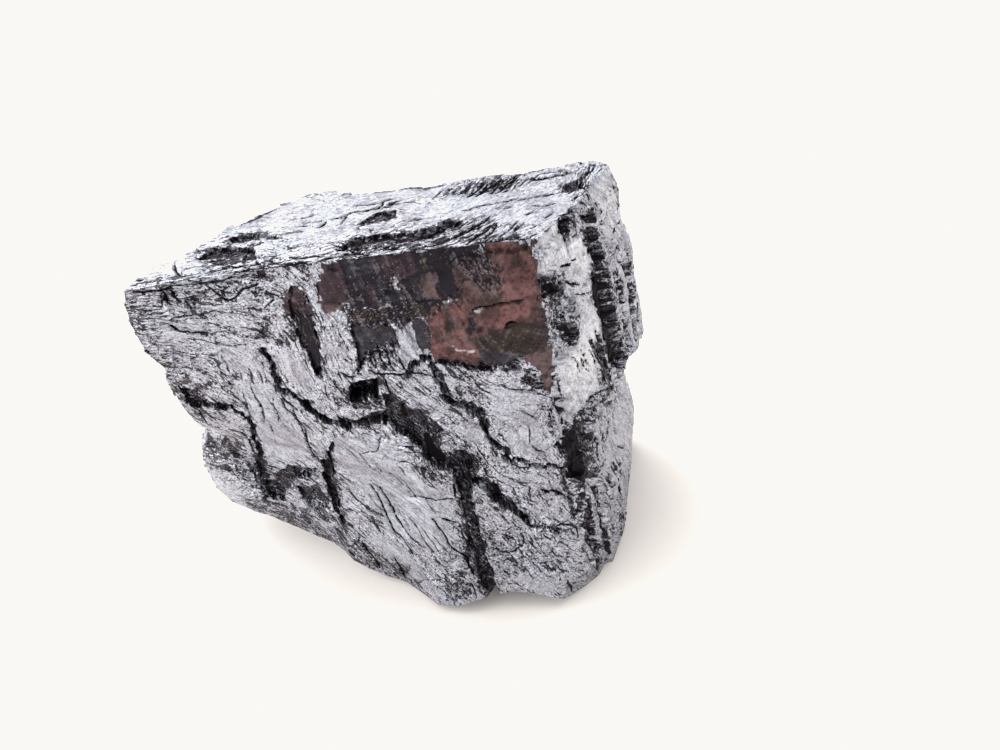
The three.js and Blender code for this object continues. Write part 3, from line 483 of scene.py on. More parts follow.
# %% Draw the open cracks
# side, width in mm and path of each open crack
CRACKS = on("front", [
    (0.35, [(-56, 57.3), (-54.8, 57.1), (-54, 55.8), (-52.6, 54.8), (-51, 54.4), (-50, 54.2)]),
    (0.2, [(-50, 54.2), (-48.6, 54.6), (-46.8, 54.2), (-45, 54.2)]),
    (0.2, [(-49.9, 53.4), (-49.8, 52.5), (-48.4, 51.8), (-47, 52), (-45, 52.3)]),
    (0.3, [(-48, 62.2), (-46.8, 60.6), (-46, 59.8), (-44.8, 60), (-43.8, 61), (-42.4, 61.5), (-41, 61.8)]),
    (0.3, [(-58, 63.1), (-53, 63.1), (-49, 62.9), (-46, 62.5), (-42, 63.4)]),
    (0.5, [(-53.5, 62.8), (-53.7, 61.4), (-53.4, 60)]),
    (0.5, [(-52.6, 62.8), (-52.5, 61.6), (-52.1, 60.2)]),
    (0.3, [(-54.2, 61.6), (-54.4, 60.2)]),
    (0.3, [(-51.6, 60.8), (-51.2, 59.2)]),
    (0.2, [(-49.8, 50.5), (-49.6, 47.4), (-49.5, 46.6)]),
    (0.2, [(-51.2, 47.8), (-50.6, 46.6), (-50.2, 46), (-48.8, 46.1)]),
    (0.2, [(-50.4, 45.6), (-50.2, 44), (-50.6, 42.6), (-50, 42)]),
    (0.2, [(-48, 47.4), (-48.3, 45)]),
    (0.2, [(-46.9, 47.8), (-46.6, 45.4)]),
    (0.2, [(-45.8, 47.6), (-45.3, 46), (-45.4, 44)]),
    (0.2, [(-47.4, 44.2), (-47.4, 41.6), (-46.9, 39.4), (-47.2, 37.6), (-47.6, 35.4)]),
    (0.3, [(-43.5, 42.8), (-42.8, 41), (-41.9, 39.6), (-41.2, 39.2)]),
    (0.3, [(-43.4, 42), (-43.4, 39.4), (-42.4, 38), (-41.4, 35.8), (-41.3, 34.6), (-41.5, 32), (-41.8, 28),
        (-41, 26.6), (-40.3, 25.8)]),
    (0.2, [(-41.6, 31), (-41, 28.8), (-40.9, 27.4)]),
    (0.35, [(-53.4, 33.8), (-51.8, 33.2), (-51.4, 32.4), (-51.7, 30), (-51.9, 26.4)]),
    (0.2, [(-47, 31.8), (-46.9, 29.2)]),
    (0.2, [(-48.2, 28), (-48.5, 26.2)]),
    (0.3, [(-45, 24), (-43.4, 24.3), (-42, 24), (-40.8, 23.6)]),
    (0.3, [(-61.6, 20.5), (-59.4, 21.1), (-57.6, 20.9), (-56.4, 19.8)]),
    (0.25, [(-61.4, 23.2), (-59.4, 24), (-57.8, 24.2)]),
    (0.3, [(-61, 25), (-59.6, 25.6), (-57.4, 26.2)]),
    (0.25, [(-60.6, 26.6), (-59, 27), (-57.4, 27.4)]),
    (0.25, [(-56, 22.1), (-54, 22.3), (-52.6, 22.4)]),
    (0.2, [(-55.4, 20.4), (-54, 20.8), (-52.8, 20.6)]),
    (0.25, [(-55.2, 18.3), (-53.6, 18.5), (-52.2, 18.6)]),
    (0.3, [(-57, 39.2), (-56.8, 37.6), (-56.9, 35)]),
    (0.3, [(-41.6, 58.1), (-40.4, 59), (-39.7, 59.6)]),
    (0.35, [(-34, 47.1), (-33.2, 46.6), (-32.4, 46.2), (-31.4, 46.4)]),
    (0.35, [(-29.8, 47.3), (-28.8, 46.4), (-27, 46.4), (-24, 46.5), (-22.4, 46.2), (-21, 45.9)]),
    (0.25, [(-35.3, 45.6), (-34.4, 44), (-33.6, 42.4)]),
    (0.2, [(-36.2, 45.2), (-36.7, 43.2), (-36, 41.6)]),
    (0.4, [(-27.5, 46), (-27.2, 43.6), (-26.6, 42)]),
    (0.3, [(-24.9, 50), (-24.4, 47.4), (-23.9, 46.8)]),
    (0.25, [(-27.7, 51), (-27.5, 49), (-26.7, 47.2)]),
    (0.25, [(-26.6, 50.6), (-26.1, 47.6)]),
    (0.2, [(-28.6, 49.9), (-28.3, 48.4), (-28.6, 47.2)]),
    (0.16, [(-14.4, 54.9), (-13, 55.3), (-11.6, 55.4), (-10.2, 55.8), (-6.2, 56.3)]),
    (0.4, [(-9.8, 52.3), (-9, 52.8), (-7.8, 53)]),
    (0.45, [(-9.8, 46.5), (-8.6, 47), (-7.2, 47.7)]),
    (0.25, [(-10.8, 42.7), (-9.6, 42), (-7.2, 42), (-5.4, 41.2)]),
    (0.2, [(-8.6, 39), (-7.2, 38), (-6, 36.8)]),
    (0.25, [(-7.4, 36.6), (-7.3, 33), (-6.6, 31.6), (-5.6, 31), (-5.2, 30.2)]),
    (0.3, [(-10.6, 28.9), (-9.4, 28.2), (-7.8, 28.4), (-7.4, 29.2)]),
    (0.3, [(-10.6, 25.3), (-9, 24.9), (-7.6, 25)]),
    (0.4, [(-6.4, 23.9), (-4.8, 23.2), (-3.6, 22.4), (-2.4, 21.4)]),
    (0.45, [(-11.2, 19.8), (-9.8, 18.6), (-9.2, 17.2), (-8, 16.4)]),
    (0.35, [(-5, 16.6), (-3.6, 16.8), (-2, 15.8), (-0.6, 14), (-0.3, 12)]),
    (0.3, [(-15.2, 11.7), (-13.6, 10.6), (-12, 9.9), (-11, 10), (-10.6, 11), (-9.8, 11.8), (-9.6, 13.4),
        (-9.9, 15.2)]),
    (0.3, [(-14.8, 8.2), (-13.4, 7.8), (-12.2, 8.6), (-11.4, 8.3)]),
    (0.3, [(-8.4, 7.5), (-6.6, 8), (-5.4, 8.8), (-4.8, 9.3)]),
    (0.35, [(-5.4, 12), (-4.8, 11), (-3.6, 10.2)]),
    (0.45, [(-2.3, 0.2), (-2, 1.8), (-2.8, 3), (-3, 4.6)]),
    (0.35, [(-19.9, 26.4), (-19.8, 24), (-19, 22.6), (-18.6, 20.6)]),
    (0.3, [(-23, 19.8), (-21.8, 19.4), (-20.6, 18.8), (-19.8, 18.4), (-19.4, 15), (-18.6, 12)]),
    (0.5, [(-20.6, 12.6), (-19.4, 10.8), (-19.2, 8.6), (-18.8, 7.2), (-18.6, 6)]),
    (0.3, [(-22.4, 14.8), (-20.8, 13), (-20.2, 12)]),
    (0.35, [(-17.8, 6.2), (-17, 4), (-16.5, 1.8)]),
    (0.3, [(-19.4, 5), (-19, 3), (-18.6, 0.6)]),
    (0.3, [(-22, 4.6), (-20.8, 3.6), (-20, 1.4)]),
    (0.35, [(-37.4, 21.8), (-36.6, 20.4), (-35.4, 19), (-33.8, 18.2)]),
    (0.35, [(-33.6, 24.3), (-32.6, 22.8), (-32, 20), (-31.6, 16.6), (-31, 14), (-29.8, 13), (-28.8, 11),
        (-28.2, 9.8)]),
    (0.35, [(-32, 24), (-31.2, 22), (-30.4, 19), (-30.2, 17), (-29, 15), (-27.8, 14), (-26.8, 13.4)]),
    (0.25, [(-34.6, 17), (-33.6, 15), (-33.4, 13)]),
    (0.4, [(-31.9, 8), (-31.4, 5.6), (-31, 3.4), (-30.9, 1.6)]),
    (0.2, [(-31, 3), (-29.8, 5), (-29.2, 7.4)]),
    (0.6, [(-37.3, 10), (-36.4, 7.6), (-35.6, 6.2), (-35, 3.6)]),
    (0.3, [(-43.6, 5.9), (-41.8, 6.2), (-40.2, 6.7), (-39.4, 7.6), (-38, 9.4), (-37.2, 11.8)]),
    (0.25, [(-30, 1.2), (-28.4, 2.4), (-27.4, 3.8), (-26.4, 5), (-24, 7)]),
    (0.2, [(-25.8, 2.6), (-26.2, 4.4), (-25.2, 6), (-26.6, 8), (-26.4, 10)]),
    (0.3, [(-27.6, 22.3), (-25.6, 23.6), (-24.2, 23.8), (-23, 23.2), (-21, 23.6), (-19.4, 23.1)]),
    (0.35, [(-24.4, 20), (-22.8, 17), (-21.6, 13.6), (-20.4, 12.4)]),
    (0.25, [(-28.6, 33.6), (-26, 34), (-23.6, 33.8)]),
    (0.2, [(-28.2, 32.8), (-26, 33.1), (-23.8, 33)]),
    (0.3, [(-28, 30.2), (-26.6, 30.8), (-24.6, 30.4), (-23.2, 29.4)]),
    (0.25, [(-33.6, 31.5), (-32.2, 31.8), (-31, 31.6), (-30.4, 32.6), (-30, 34.4), (-28, 34.8)]),
]) + on("top", [
    (0.3, [(-29.2, 31), (-26, 31.6), (-22, 32.5)]),
    (0.3, [(-37.2, 29.9), (-35.4, 29.8), (-33.8, 30.2)]),
    (0.25, [(-27.9, 26.2), (-27.7, 24.9), (-26.2, 24.3), (-24, 24.4), (-22.8, 25.2)]),
    (0.4, [(-25.4, 30.1), (-24.2, 31.2), (-24.4, 32)]),
    (0.35, [(-23.6, 30.4), (-22.4, 31.4)]),
    (0.25, [(-21.2, 30.6), (-19.6, 30.4), (-18.6, 29.8)]),
    (0.25, [(-21, 26.4), (-20, 25.8), (-18.8, 26)]),
    (0.25, [(-9, 26.2), (-7.6, 26), (-6.2, 26.4)]),
    (0.25, [(-4, 26), (-2.4, 25.4), (-0.4, 25.8)]),
    (0.5, [(-3, 32.3), (-0.6, 32.6), (1.8, 32.8), (3.4, 33.6)]),
    (0.3, [(-1.6, 33.8), (1, 34), (3, 34.4)]),
    (0.3, [(-9.6, 30), (-6.4, 30.2), (-4.2, 29.8)]),
    (0.4, [(-20, 21.8), (-17, 23.2), (-13.6, 24.6)]),
    (0.3, [(-18.6, 21.6), (-15, 22.6), (-12.4, 24.2)]),
    (0.3, [(-16, 20.4), (-12.4, 22.6), (-9.6, 24.6)]),
    (0.3, [(-19.6, 19.2), (-15, 20.8), (-11, 22.8)]),
    (0.3, [(-14, 19.2), (-11.4, 21), (-9.8, 22.8)]),
    (0.3, [(-11.2, 19.4), (-9.8, 21.6), (-9, 23.2)]),
    (0.25, [(-9.6, 19.8), (-7.4, 21.4), (-6, 23.4)]),
    (0.25, [(-7.4, 20.4), (-5.4, 22.4)]),
    (0.4, [(-57, 20.2), (-55.6, 19.8)]),
    (0.35, [(-52.2, 22.6), (-51.9, 21), (-51, 19.4)]),
    (0.35, [(-46.8, 20.6), (-45, 20.8), (-43, 20.2), (-41, 20.4)]),
    (0.35, [(-44, 19.4), (-41.4, 19.4), (-38.4, 19.6), (-34, 19.2)]),
    (0.3, [(-41.6, 21.2), (-40.4, 19.8)]),
    (0.3, [(-40, 21.4), (-38.8, 20)]),
    (0.3, [(-37, 20.8), (-34.6, 20.6), (-32.4, 20)]),
    (0.35, [(-33.8, 19.2), (-31, 19.8), (-28.4, 19.6), (-26, 19)]),
    (0.35, [(-27, 20.2), (-23, 19.6), (-19, 19.9)]),
    (0.3, [(-31.6, 22.6), (-30, 21.4), (-29.4, 20.2)]),
    (0.35, [(-12.4, 19.2), (-8, 19.3), (-4.8, 19.1)]),
    (0.3, [(-33.6, 26.8), (-32.6, 27.8), (-32.2, 28.8)]),
    (0.25, [(-36.4, 27.4), (-34.2, 27.4)]),
    (0.25, [(-30.4, 27), (-29.8, 28.4), (-29.6, 29.8)]),
    (0.25, [(-38.8, 25.6), (-37, 24.4)]),
    (0.25, [(-38, 23.6), (-36, 22.6)]),
    (0.25, [(-5.2, 24), (-3.4, 24.6)]),
    (0.3, [(1.6, 25.8), (3, 27.2)]),
    (0.3, [(-2.6, 22.8), (-1, 24)]),
]) + on("right", [
    (0.4, [(27.2, 50), (27, 45), (27.4, 40), (27, 35), (26.6, 31)]),
    (0.35, [(28.8, 51), (29.8, 48), (30, 43), (29.8, 37), (30, 32)]),
    (0.35, [(31, 50.6), (31.8, 46), (32, 40), (31.6, 34), (32, 30.6)]),
    (0.3, [(28.2, 38), (28.6, 34), (28.4, 31)]),
    (0.3, [(27.6, 52), (29.4, 53), (31, 54.6), (33, 55)]),
    (0.3, [(28, 51), (30, 51.8), (32.4, 53.4)]),
    (0.25, [(28.4, 56), (30, 58), (31, 60.6)]),
    (0.35, [(20, 45), (19.6, 40), (19.4, 36), (19.8, 32)]),
    (0.3, [(18.6, 44), (18.8, 40), (18.4, 36)]),
    (0.4, [(13, 34.4), (15, 34.6), (17.4, 33.4), (19.2, 31.4)]),
    (0.6, [(17.3, 31.2), (17.5, 28), (17.9, 25), (18.4, 22), (19.4, 20.4)]),
    (0.35, [(14.8, 30), (14.6, 26), (15, 22)]),
    (0.3, [(12.6, 28.6), (12.6, 25), (11.8, 22)]),
    (0.4, [(9.2, 20.6), (11.4, 20.2), (14, 20)]),
    (0.4, [(9, 20), (7.6, 14), (6.2, 8), (5.4, 2)]),
    (0.4, [(7.4, 18.6), (5.6, 13), (4.6, 8), (4, 3)]),
    (0.35, [(5.8, 16), (4.4, 11), (3.4, 6), (2.8, 1.6)]),
    (0.45, [(17, 18.4), (18.6, 15.4), (21, 12)]),
    (0.8, [(13.6, 12.6), (12.2, 10), (10.8, 7)]),
    (0.4, [(16.4, 16.6), (15.4, 13.6), (13.6, 12.4)]),
    (0.4, [(11.4, 18), (11, 15.4), (12, 13.4)]),
    (0.3, [(12.8, 44), (11.6, 38), (10, 32)]),
    (0.5, [(17.6, 55.6), (19.4, 55), (20.6, 53)]),
    (0.5, [(18.6, 58.4), (20.6, 57), (22, 57.4)]),
    (0.4, [(19, 53), (20.4, 51.4), (21.6, 50.8)]),
])
print("cracks drawn one by one:", len(CRACKS))


# %% Add the sheaves of small cracks
def sheaf(side, width, start, step, run, count, seed):
    """count cracks side by side: the k-th starts near start + k * step, follows run for
    60 to 100 % of its length and bends a little on the way."""
    chance = np.random.default_rng(seed)
    cracks = []
    for k in range(count):
        first = np.array(start) + k * np.array(step) + chance.uniform(-0.3, 0.3, 2)
        length = chance.uniform(0.6, 1.0) * np.array(run)
        bend = chance.uniform(-0.08, 0.08) * np.array([-run[1], run[0]])
        path = [first, first + length / 2 + bend, first + length]
        cracks.append((side, width * chance.uniform(0.7, 1.2), [tuple(p) for p in path]))
    return cracks


# side, width, start, step, run and count of each sheaf, whose place in the list is its seed
SHEAVES = [
    ("top", 0.3, (-17, 30.8), (1.0, 0.05), (2.6, 3.0), 5),
    ("top", 0.45, (-12.4, 30.0), (0.8, 0.02), (3.6, 4.2), 7),
    ("top", 0.3, (-6.6, 30.6), (0.8, 0.1), (3.0, 3.6), 4),
    ("top", 0.3, (3.2, 29.6), (0.6, 0.5), (1.4, 3.0), 5),
    ("right", 0.3, (30.2, 44), (0.6, 0), (0.4, -10), 4),
    ("right", 0.3, (15.4, 44), (0.8, -0.4), (0.2, -6), 4),
    ("right", 0.35, (12.4, 19), (0.9, -0.2), (-0.6, -6), 4),
    ("right", 0.35, (8, 9), (1.2, -0.6), (-1.0, -6), 4),
    ("front", 0.2, (-57.6, 59.5), (0.9, -0.5), (3.4, 0.4), 6),
    ("right", 0.3, (11.6, 29), (1.0, 0), (-0.4, -9), 6),
    ("right", 0.3, (9.6, 19), (1.1, -0.3), (-1.0, -9), 5),
    ("right", 0.26, (27.6, 62), (0.9, 0), (0.6, -9), 6),
    ("right", 0.3, (26.8, 49), (0.9, 0), (0.2, -14), 6),
    ("right", 0.3, (19, 29), (1.1, -0.6), (1.2, -8), 5),
    ("right", 0.22, (16.6, 44), (0.7, 0), (0.2, -8), 4),
    ("right", 0.26, (14.6, 16), (1.2, -0.4), (0.6, -7), 5),
    ("top", 0.2, (-50, 24.4), (2.2, 0.4), (6, 0.4), 6),
    ("top", 0.2, (-36, 28), (2.6, 0.5), (5, 0.8), 6),
    ("top", 0.2, (-14, 26.4), (2.0, 0.3), (4.2, 0.8), 7),
    ("top", 0.2, (-34, 24.4), (3, 0.3), (6, 0.4), 5),
    ("front", 0.16, (-49, 43), (1.1, -0.3), (0.4, -9), 7),
    ("front", 0.18, (-36, 33), (2.0, -1.6), (3.6, -6), 6),
    ("front", 0.18, (-34, 22), (2.0, -1.2), (3.6, -7), 6),
    ("front", 0.18, (-28, 30), (1.6, 0.2), (2.6, -5), 5),
    ("front", 0.18, (-60, 27), (0.4, -1.2), (3.4, 1.0), 6),
    ("back", 0.3, (-50, 56), (3.4, -0.6), (1.2, -12), 6),
    ("back", 0.3, (-24, 34), (2.6, -1.2), (0.8, -14), 6),
    ("back", 0.25, (-44, 30), (2.2, -2.4), (6, -3), 5),
    ("back", 0.35, (-14, 58), (3.0, 0.2), (1.0, -16), 5),
    ("left", 0.3, (8, 50), (3.2, 0.2), (1.4, -12), 6),
    ("left", 0.25, (14, 30), (2.6, -1.6), (2.0, -10), 5),
]
for sheaf_seed, sheaf_row in enumerate(SHEAVES, 1):
    CRACKS += sheaf(*sheaf_row, sheaf_seed)
print("cracks in all:", len(CRACKS))


# %% Measure the distance to an outline or a path
def to_piece(places, start, end):
    """The distance from each place to the straight piece from start to end, and how far
    along the piece, 0 to 1, its nearest point lies."""
    run = end - start
    offset = places - start
    t = np.clip(offset @ run / (run @ run), 0, 1)
    return np.linalg.norm(offset - t[:, None] * run, axis=1), t


def inside_distance(places, outline):
    """Signed distance to a closed outline, positive inside: the nearest point on each
    piece of it, and the sign from how often a ray to the right crosses it."""
    corners = np.array(outline, float)
    nearest = np.full(len(places), np.inf)
    inside = np.zeros(len(places), bool)
    for start, end in zip(corners, np.roll(corners, -1, axis=0)):
        nearest = np.minimum(nearest, to_piece(places, start, end)[0])
        run = end - start
        spans = (start[1] > places[:, 1]) != (end[1] > places[:, 1])
        rise = run[1] if abs(run[1]) > 1e-9 else 1e-9
        inside ^= spans & (places[:, 0] < start[0] + (places[:, 1] - start[1]) / rise * run[0])
    return np.where(inside, nearest, -nearest)


def groove_distance(places, path, start_width, end_width):
    """Signed distance into a groove: half its width there, less the distance to the
    path. The width runs evenly from the start to the end."""
    points = np.array(path, float)
    reach = reach_of(points)
    best = np.full(len(places), -np.inf)
    for k in range(len(points) - 1):
        gap, t = to_piece(places, points[k], points[k + 1])
        part = (reach[k] + t * (reach[k + 1] - reach[k])) / reach[-1]
        half = (start_width + (end_width - start_width) * part) / 2
        best = np.maximum(best, half - gap)
    return best


STAIR_SIZES = (1.7, 0.75)       # squares that push an outline about, in mm
STAIR_PUSHES = (0.36, 0.16)
WOBBLE_SIZE, WOBBLE_PUSH = 0.5, 0.12
CUT_SEED, SLAB_SEED, GROUND_SEED = 40, 50, 60


def stair_step(places, seed):
    """Places pushed sideways by one small jump for each square of two sizes and by a
    little smooth noise, so that a straight outline comes out as a ragged staircase."""
    pushed = places.copy()
    for axis in range(2):
        for k, (size, push) in enumerate(zip(STAIR_SIZES, STAIR_PUSHES)):
            pushed[:, axis] += push * cube_noise(places, size, seed + 7 * k + axis)
        pushed[:, axis] += WOBBLE_PUSH * smooth_noise(places, WOBBLE_SIZE, seed + 20 + axis)
    return pushed


CRACK_STEP, CRACK_SWAY = 0.45, 0.13
SWAY_SIZES = (0.9, 2.2)         # of the noises that a crack sways by, in mm


def swaying(path, seed):
    """A path cut into even short steps, each moved sideways by smooth noise."""
    corners = np.array(path, float)
    reach = reach_of(corners)
    at = np.linspace(0, reach[-1], max(int(reach[-1] / CRACK_STEP), 1) + 1)
    steps = np.stack([np.interp(at, reach, corners[:, axis]) for axis in range(2)], -1)
    near, far = SWAY_SIZES
    sway = [smooth_noise(steps, near, seed + axis) + smooth_noise(steps, far, seed + 5 + axis)
            for axis in range(2)]
    return steps + CRACK_SWAY * np.stack(sway, -1)


def nearest_on(places, path, taper=0.6):
    """For each place: the nearest point of a path, the distance to it, and how wide the
    crack is there, from 0 at both ends to 1 once it is taper mm from them."""
    best = np.full(len(places), np.inf)
    spot = places.copy()
    share = np.zeros(len(places))
    reach = reach_of(path)
    for k in range(len(path) - 1):
        gap, t = to_piece(places, path[k], path[k + 1])
        there = path[k] + t[:, None] * (path[k + 1] - path[k])
        nearer = gap < best
        best = np.where(nearer, gap, best)
        spot = np.where(nearer[:, None], there, spot)
        at = reach[k] + t * (reach[k + 1] - reach[k])
        share = np.where(nearer, np.clip(np.minimum(at, reach[-1] - at) / taper, 0, 1), share)
    return spot, best, share


places_try = np.array([[-30.0, 44.0], [-10.0, 10.0]])
print("distance into the pit:", inside_distance(places_try, RECESSES[0][2]).round(2))

# %% [markdown]
# ## Carving
# A cut is a rule for points, not a boolean: inside the outline, whatever stands above
# the floor is pressed down to it, on whichever side of the block it started. That keeps
# the mesh closed and lets a recess run out over an edge, as the steps on the back do.
# The floor follows the side's own surface, so the height of each side is first drawn on
# a small map.

# %% Carve the block
MAP_CELL = 0.6                  # mm between the points of a height map
MAP_MARGIN = 8                  # mm that a map reaches beyond its side
WALL_WIDTH = 0.22               # how far a wall leans over its height
SLAB_REACH = 1.0                # a slab lifts only what lies this near the side


def height_map(points, side):
    """The side's third coordinate on an even grid of places: the mean of the points in
    each cell, and empty cells filled from their neighbours again and again."""
    third = FACING[side][2]
    on_side = members(side)
    places = places_on(side, points[on_side])
    low = places.min(axis=0) - MAP_MARGIN
    shape = np.ceil((places.max(axis=0) + MAP_MARGIN - low) / MAP_CELL).astype(int) + 2
    cell = np.round((places - low) / MAP_CELL).astype(int)
    flat = cell[:, 0] * shape[1] + cell[:, 1]
    count = np.bincount(flat, minlength=shape.prod()).reshape(shape).astype(float)
    total = np.bincount(flat, points[on_side][:, third], shape.prod()).reshape(shape)
    level = np.where(count > 0, total / np.maximum(count, 1), 0)
    known = count > 0
    while not known.all():
        padded = np.pad(np.where(known, level, 0), 1)
        filled = np.pad(known.astype(float), 1)
        sums = padded[:-2, 1:-1] + padded[2:, 1:-1] + padded[1:-1, :-2] + padded[1:-1, 2:]
        counts = filled[:-2, 1:-1] + filled[2:, 1:-1] + filled[1:-1, :-2] + filled[1:-1, 2:]
        reached = ~known & (counts > 0)
        level[reached] = sums[reached] / counts[reached]
        known |= reached
    return low, level


def read_map(height, places, cell=MAP_CELL):
    """The map's value between its points: the four around a place, blended."""
    low, level = height
    at = (places - low) / cell
    at = np.clip(at, 0, np.array(level.shape[:2]) - 1.001)
    i = at.astype(int)
    part = at - i
    x, y = part[:, 0], part[:, 1]
    if level.ndim == 3:
        x, y = x[:, None], y[:, None]
    return ((1 - x) * (1 - y) * level[i[:, 0], i[:, 1]] + x * (1 - y) * level[i[:, 0] + 1, i[:, 1]]
            + (1 - x) * y * level[i[:, 0], i[:, 1] + 1] + x * y * level[i[:, 0] + 1, i[:, 1] + 1])


HEIGHT = {side: height_map(block_points, side) for side in FACING}


def near_outline(places, outline, margin=2.0):
    """Which places lie in the outline's box, with a margin: only those are measured."""
    corners = np.array(outline)
    inside = (places > corners.min(axis=0) - margin) & (places < corners.max(axis=0) + margin)
    return np.flatnonzero(inside.all(axis=1))


def press_down(points, side, outline, distance_to, depth_at, ragged=True):
    """coordinate + (floor - coordinate) * wall ramp of the distance, for points above
    the floor; floor = height of the side there, less the depth."""
    third, outward = FACING[side][2:]
    near = near_outline(places_on(side, points), outline)
    places = places_on(side, points[near])
    distance = distance_to(stair_step(places, CUT_SEED) if ragged else places)
    floor = read_map(HEIGHT[side], places) - outward * depth_at(places)
    height = points[near, third]
    share = soft_ramp(distance, -WALL_WIDTH / 2, WALL_WIDTH / 2)
    above = outward * (height - floor) > 0
    points[near, third] = np.where(above, height + (floor - height) * share, height)


def lift_slab(points, side, rise, outline):
    """coordinate + rise * wall ramp of the distance, for points near the side."""
    third, outward = FACING[side][2:]
    near = near_outline(places_on(side, points), outline)
    places = places_on(side, points[near])
    distance = inside_distance(stair_step(places, SLAB_SEED), outline)
    share = soft_ramp(distance, -WALL_WIDTH / 2, WALL_WIDTH / 2)
    close = np.abs(points[near, third] - read_map(HEIGHT[side], places)) < SLAB_REACH
    points[near, third] += outward * rise * share * close


SNAP = 0.13                     # a point this near a crack's path is moved onto it, in mm
CRACK_DEPTH = 0.9               # depth of a crack as a share of its width


def cut_crack(points, side, width, path):
    """Points near the path move onto it; then coordinate - depth * (1 - distance / width),
    for points near the side."""
    first, second, third, outward = FACING[side]
    near = near_outline(places_on(side, points), path, 1.0)
    places = places_on(side, points[near])
    near = near[np.abs(points[near, third] - read_map(HEIGHT[side], places)) < SLAB_REACH]
    places = places_on(side, points[near])
    spot, gap, share = nearest_on(places, path)
    points[np.ix_(near, [first, second])] = np.where((gap < SNAP)[:, None], spot, places)
    gap = np.where(gap < SNAP, 0, gap)
    points[near, third] -= outward * CRACK_DEPTH * width * share * np.clip(1 - gap / width, 0, 1)


CRACK_SEED, SEED_STEP = 300, 11
CRACK_PATHS = [swaying(path, CRACK_SEED + SEED_STEP * k) for k, (_, _, path) in enumerate(CRACKS)]


def carve_block(points):
    """The slabs, then the grooves, then the recesses and the lip at the right end."""
    points = points.copy()
    for side, rise, outline in SLABS:
        lift_slab(points, side, rise, outline)
    for side, depth, start_width, end_width, path in GROOVES:
        press_down(points, side, path,
                   lambda p: groove_distance(p, path, start_width, end_width), lambda p: depth)
    for side, depth, outline in RECESSES:
        press_down(points, side, outline, lambda p: inside_distance(p, outline), lambda p: depth,
                   ragged=depth != PIT_DEPTH)
    full, none = LIP_LEVELS
    press_down(points, "right", LIP_OUTLINE, lambda p: inside_distance(p, LIP_OUTLINE),
               lambda p: LIP_DEPTH * (p[:, 1] - none) / (full - none))
    for (side, width, _), path in zip(CRACKS, CRACK_PATHS):
        cut_crack(points, side, width, path)
    return points


block_points = carve_block(block_points)
print("carved in", round(time.time() - STARTED, 1), "s")

# %% [markdown]
# ## Which way the surface flows
# Cracks and fine steps on the block run in long curved sheaves that turn from place to
# place. A few given directions on each side are blended into a field, and then two
# numbers are found for every place: how far along the flow it lies and how far across.
# Their slopes match the field as nearly as they can, in the least-squares sense. Fine
# relief and, later, the cracks in the finish are drawn in those two numbers, and so they
# follow the turns.

# %% Solve the flow
FLOW_CELL = 2.5                 # mm between the points of a flow map
FLOW_SHARPNESS = 1.5            # how quickly a hint gives way to the next

# For each side: places (in its two coordinates) and the direction there in degrees
# from its first coordinate towards its second, and a middle direction to unwrap about.
FLOW_HINTS = {
    "front": (-45, [(-58, 60, 10), (-50, 61, -12), (-55, 53, -8), (-45, 56, 4), (-50, 46, -78),
        (-45, 35, -84), (-42, 30, -88), (-50, 30, -82), (-58, 38, -60), (-60, 26, 24), (-58, 16, 40),
        (-54, 20, 0), (-36, 20, -56), (-31, 17, -69), (-30, 9, -58), (-40, 9, -40), (-24, 20, -38),
        (-22, 12, -60), (-19, 6, -74), (-34, 31, -20), (-28, 34, 12), (-25, 24, 8), (-38, 40, -34),
        (-31, 42, -24), (-27, 50, -80), (-33, 52, -84), (-28, 62, -88), (-22, 58, -88), (-27, 55, -88),
        (-15, 59, -50), (-23, 37, -84), (-22, 33, -78), (-18, 28, -80), (-18, 36, -58), (-12, 35, -62),
        (-8, 41, -4), (-8, 34, -76), (-8, 28, -8), (-6, 21, -48), (-10, 12, -30), (-4, 7, -24),
        (-12, 4, -60), (-12, 59, -50), (-7, 52, -10), (-17, 52, -84), (-24, 60, -86), (-2, 30, -86),
        (-2, 16, -60)]),
    "top": (10, [(-52, 22, 0), (-45, 25, 4), (-35, 27, 6), (-25, 32, 16), (-12, 33, 54), (-5, 31, 44),
        (4, 33, 66), (0, 28, 4), (-15, 22, 30), (-8, 21, 42), (-20, 29, -12), (-5, 25, 18), (-30, 20, 2),
        (3, 30, 70)]),
    "right": (70, [(20, 60, 58), (30, 57, 120), (30, 42, 88), (15, 42, 84), (10, 26, 74), (8, 10, 78),
        (20, 20, 98), (27, 14, 118), (3, 6, 80), (24, 45, 86), (18, 50, 66)]),
    "back": (30, [(-40, 52, 6), (-20, 50, 62), (0, 50, 80), (-52, 20, 12), (-20, 20, -28), (6, 20, -20),
        (-35, 35, 20)]),
    "left": (80, [(25, 55, 82), (30, 30, 62), (35, 15, 104), (24, 20, 130)]),
    "foot": (30, [(-40, 30, 20), (0, 20, 52), (-30, 10, 30)]),
}


def flow_direction(places, middle, hints):
    """Unit directions: the doubled angles of the hints, averaged with weights that fall
    with distance, then halved, so that opposite directions count as the same."""
    hints = np.array(hints, float)
    gap = places[:, None, :] - hints[None, :, :2]
    weight = 1 / ((gap ** 2).sum(-1) + 1.0) ** FLOW_SHARPNESS
    doubled = 2 * np.radians(hints[:, 2] - middle)
    turn = np.arctan2(weight @ np.sin(doubled), weight @ np.cos(doubled)) / 2
    angle = turn + math.radians(middle)
    return np.stack([np.cos(angle), np.sin(angle)], -1)


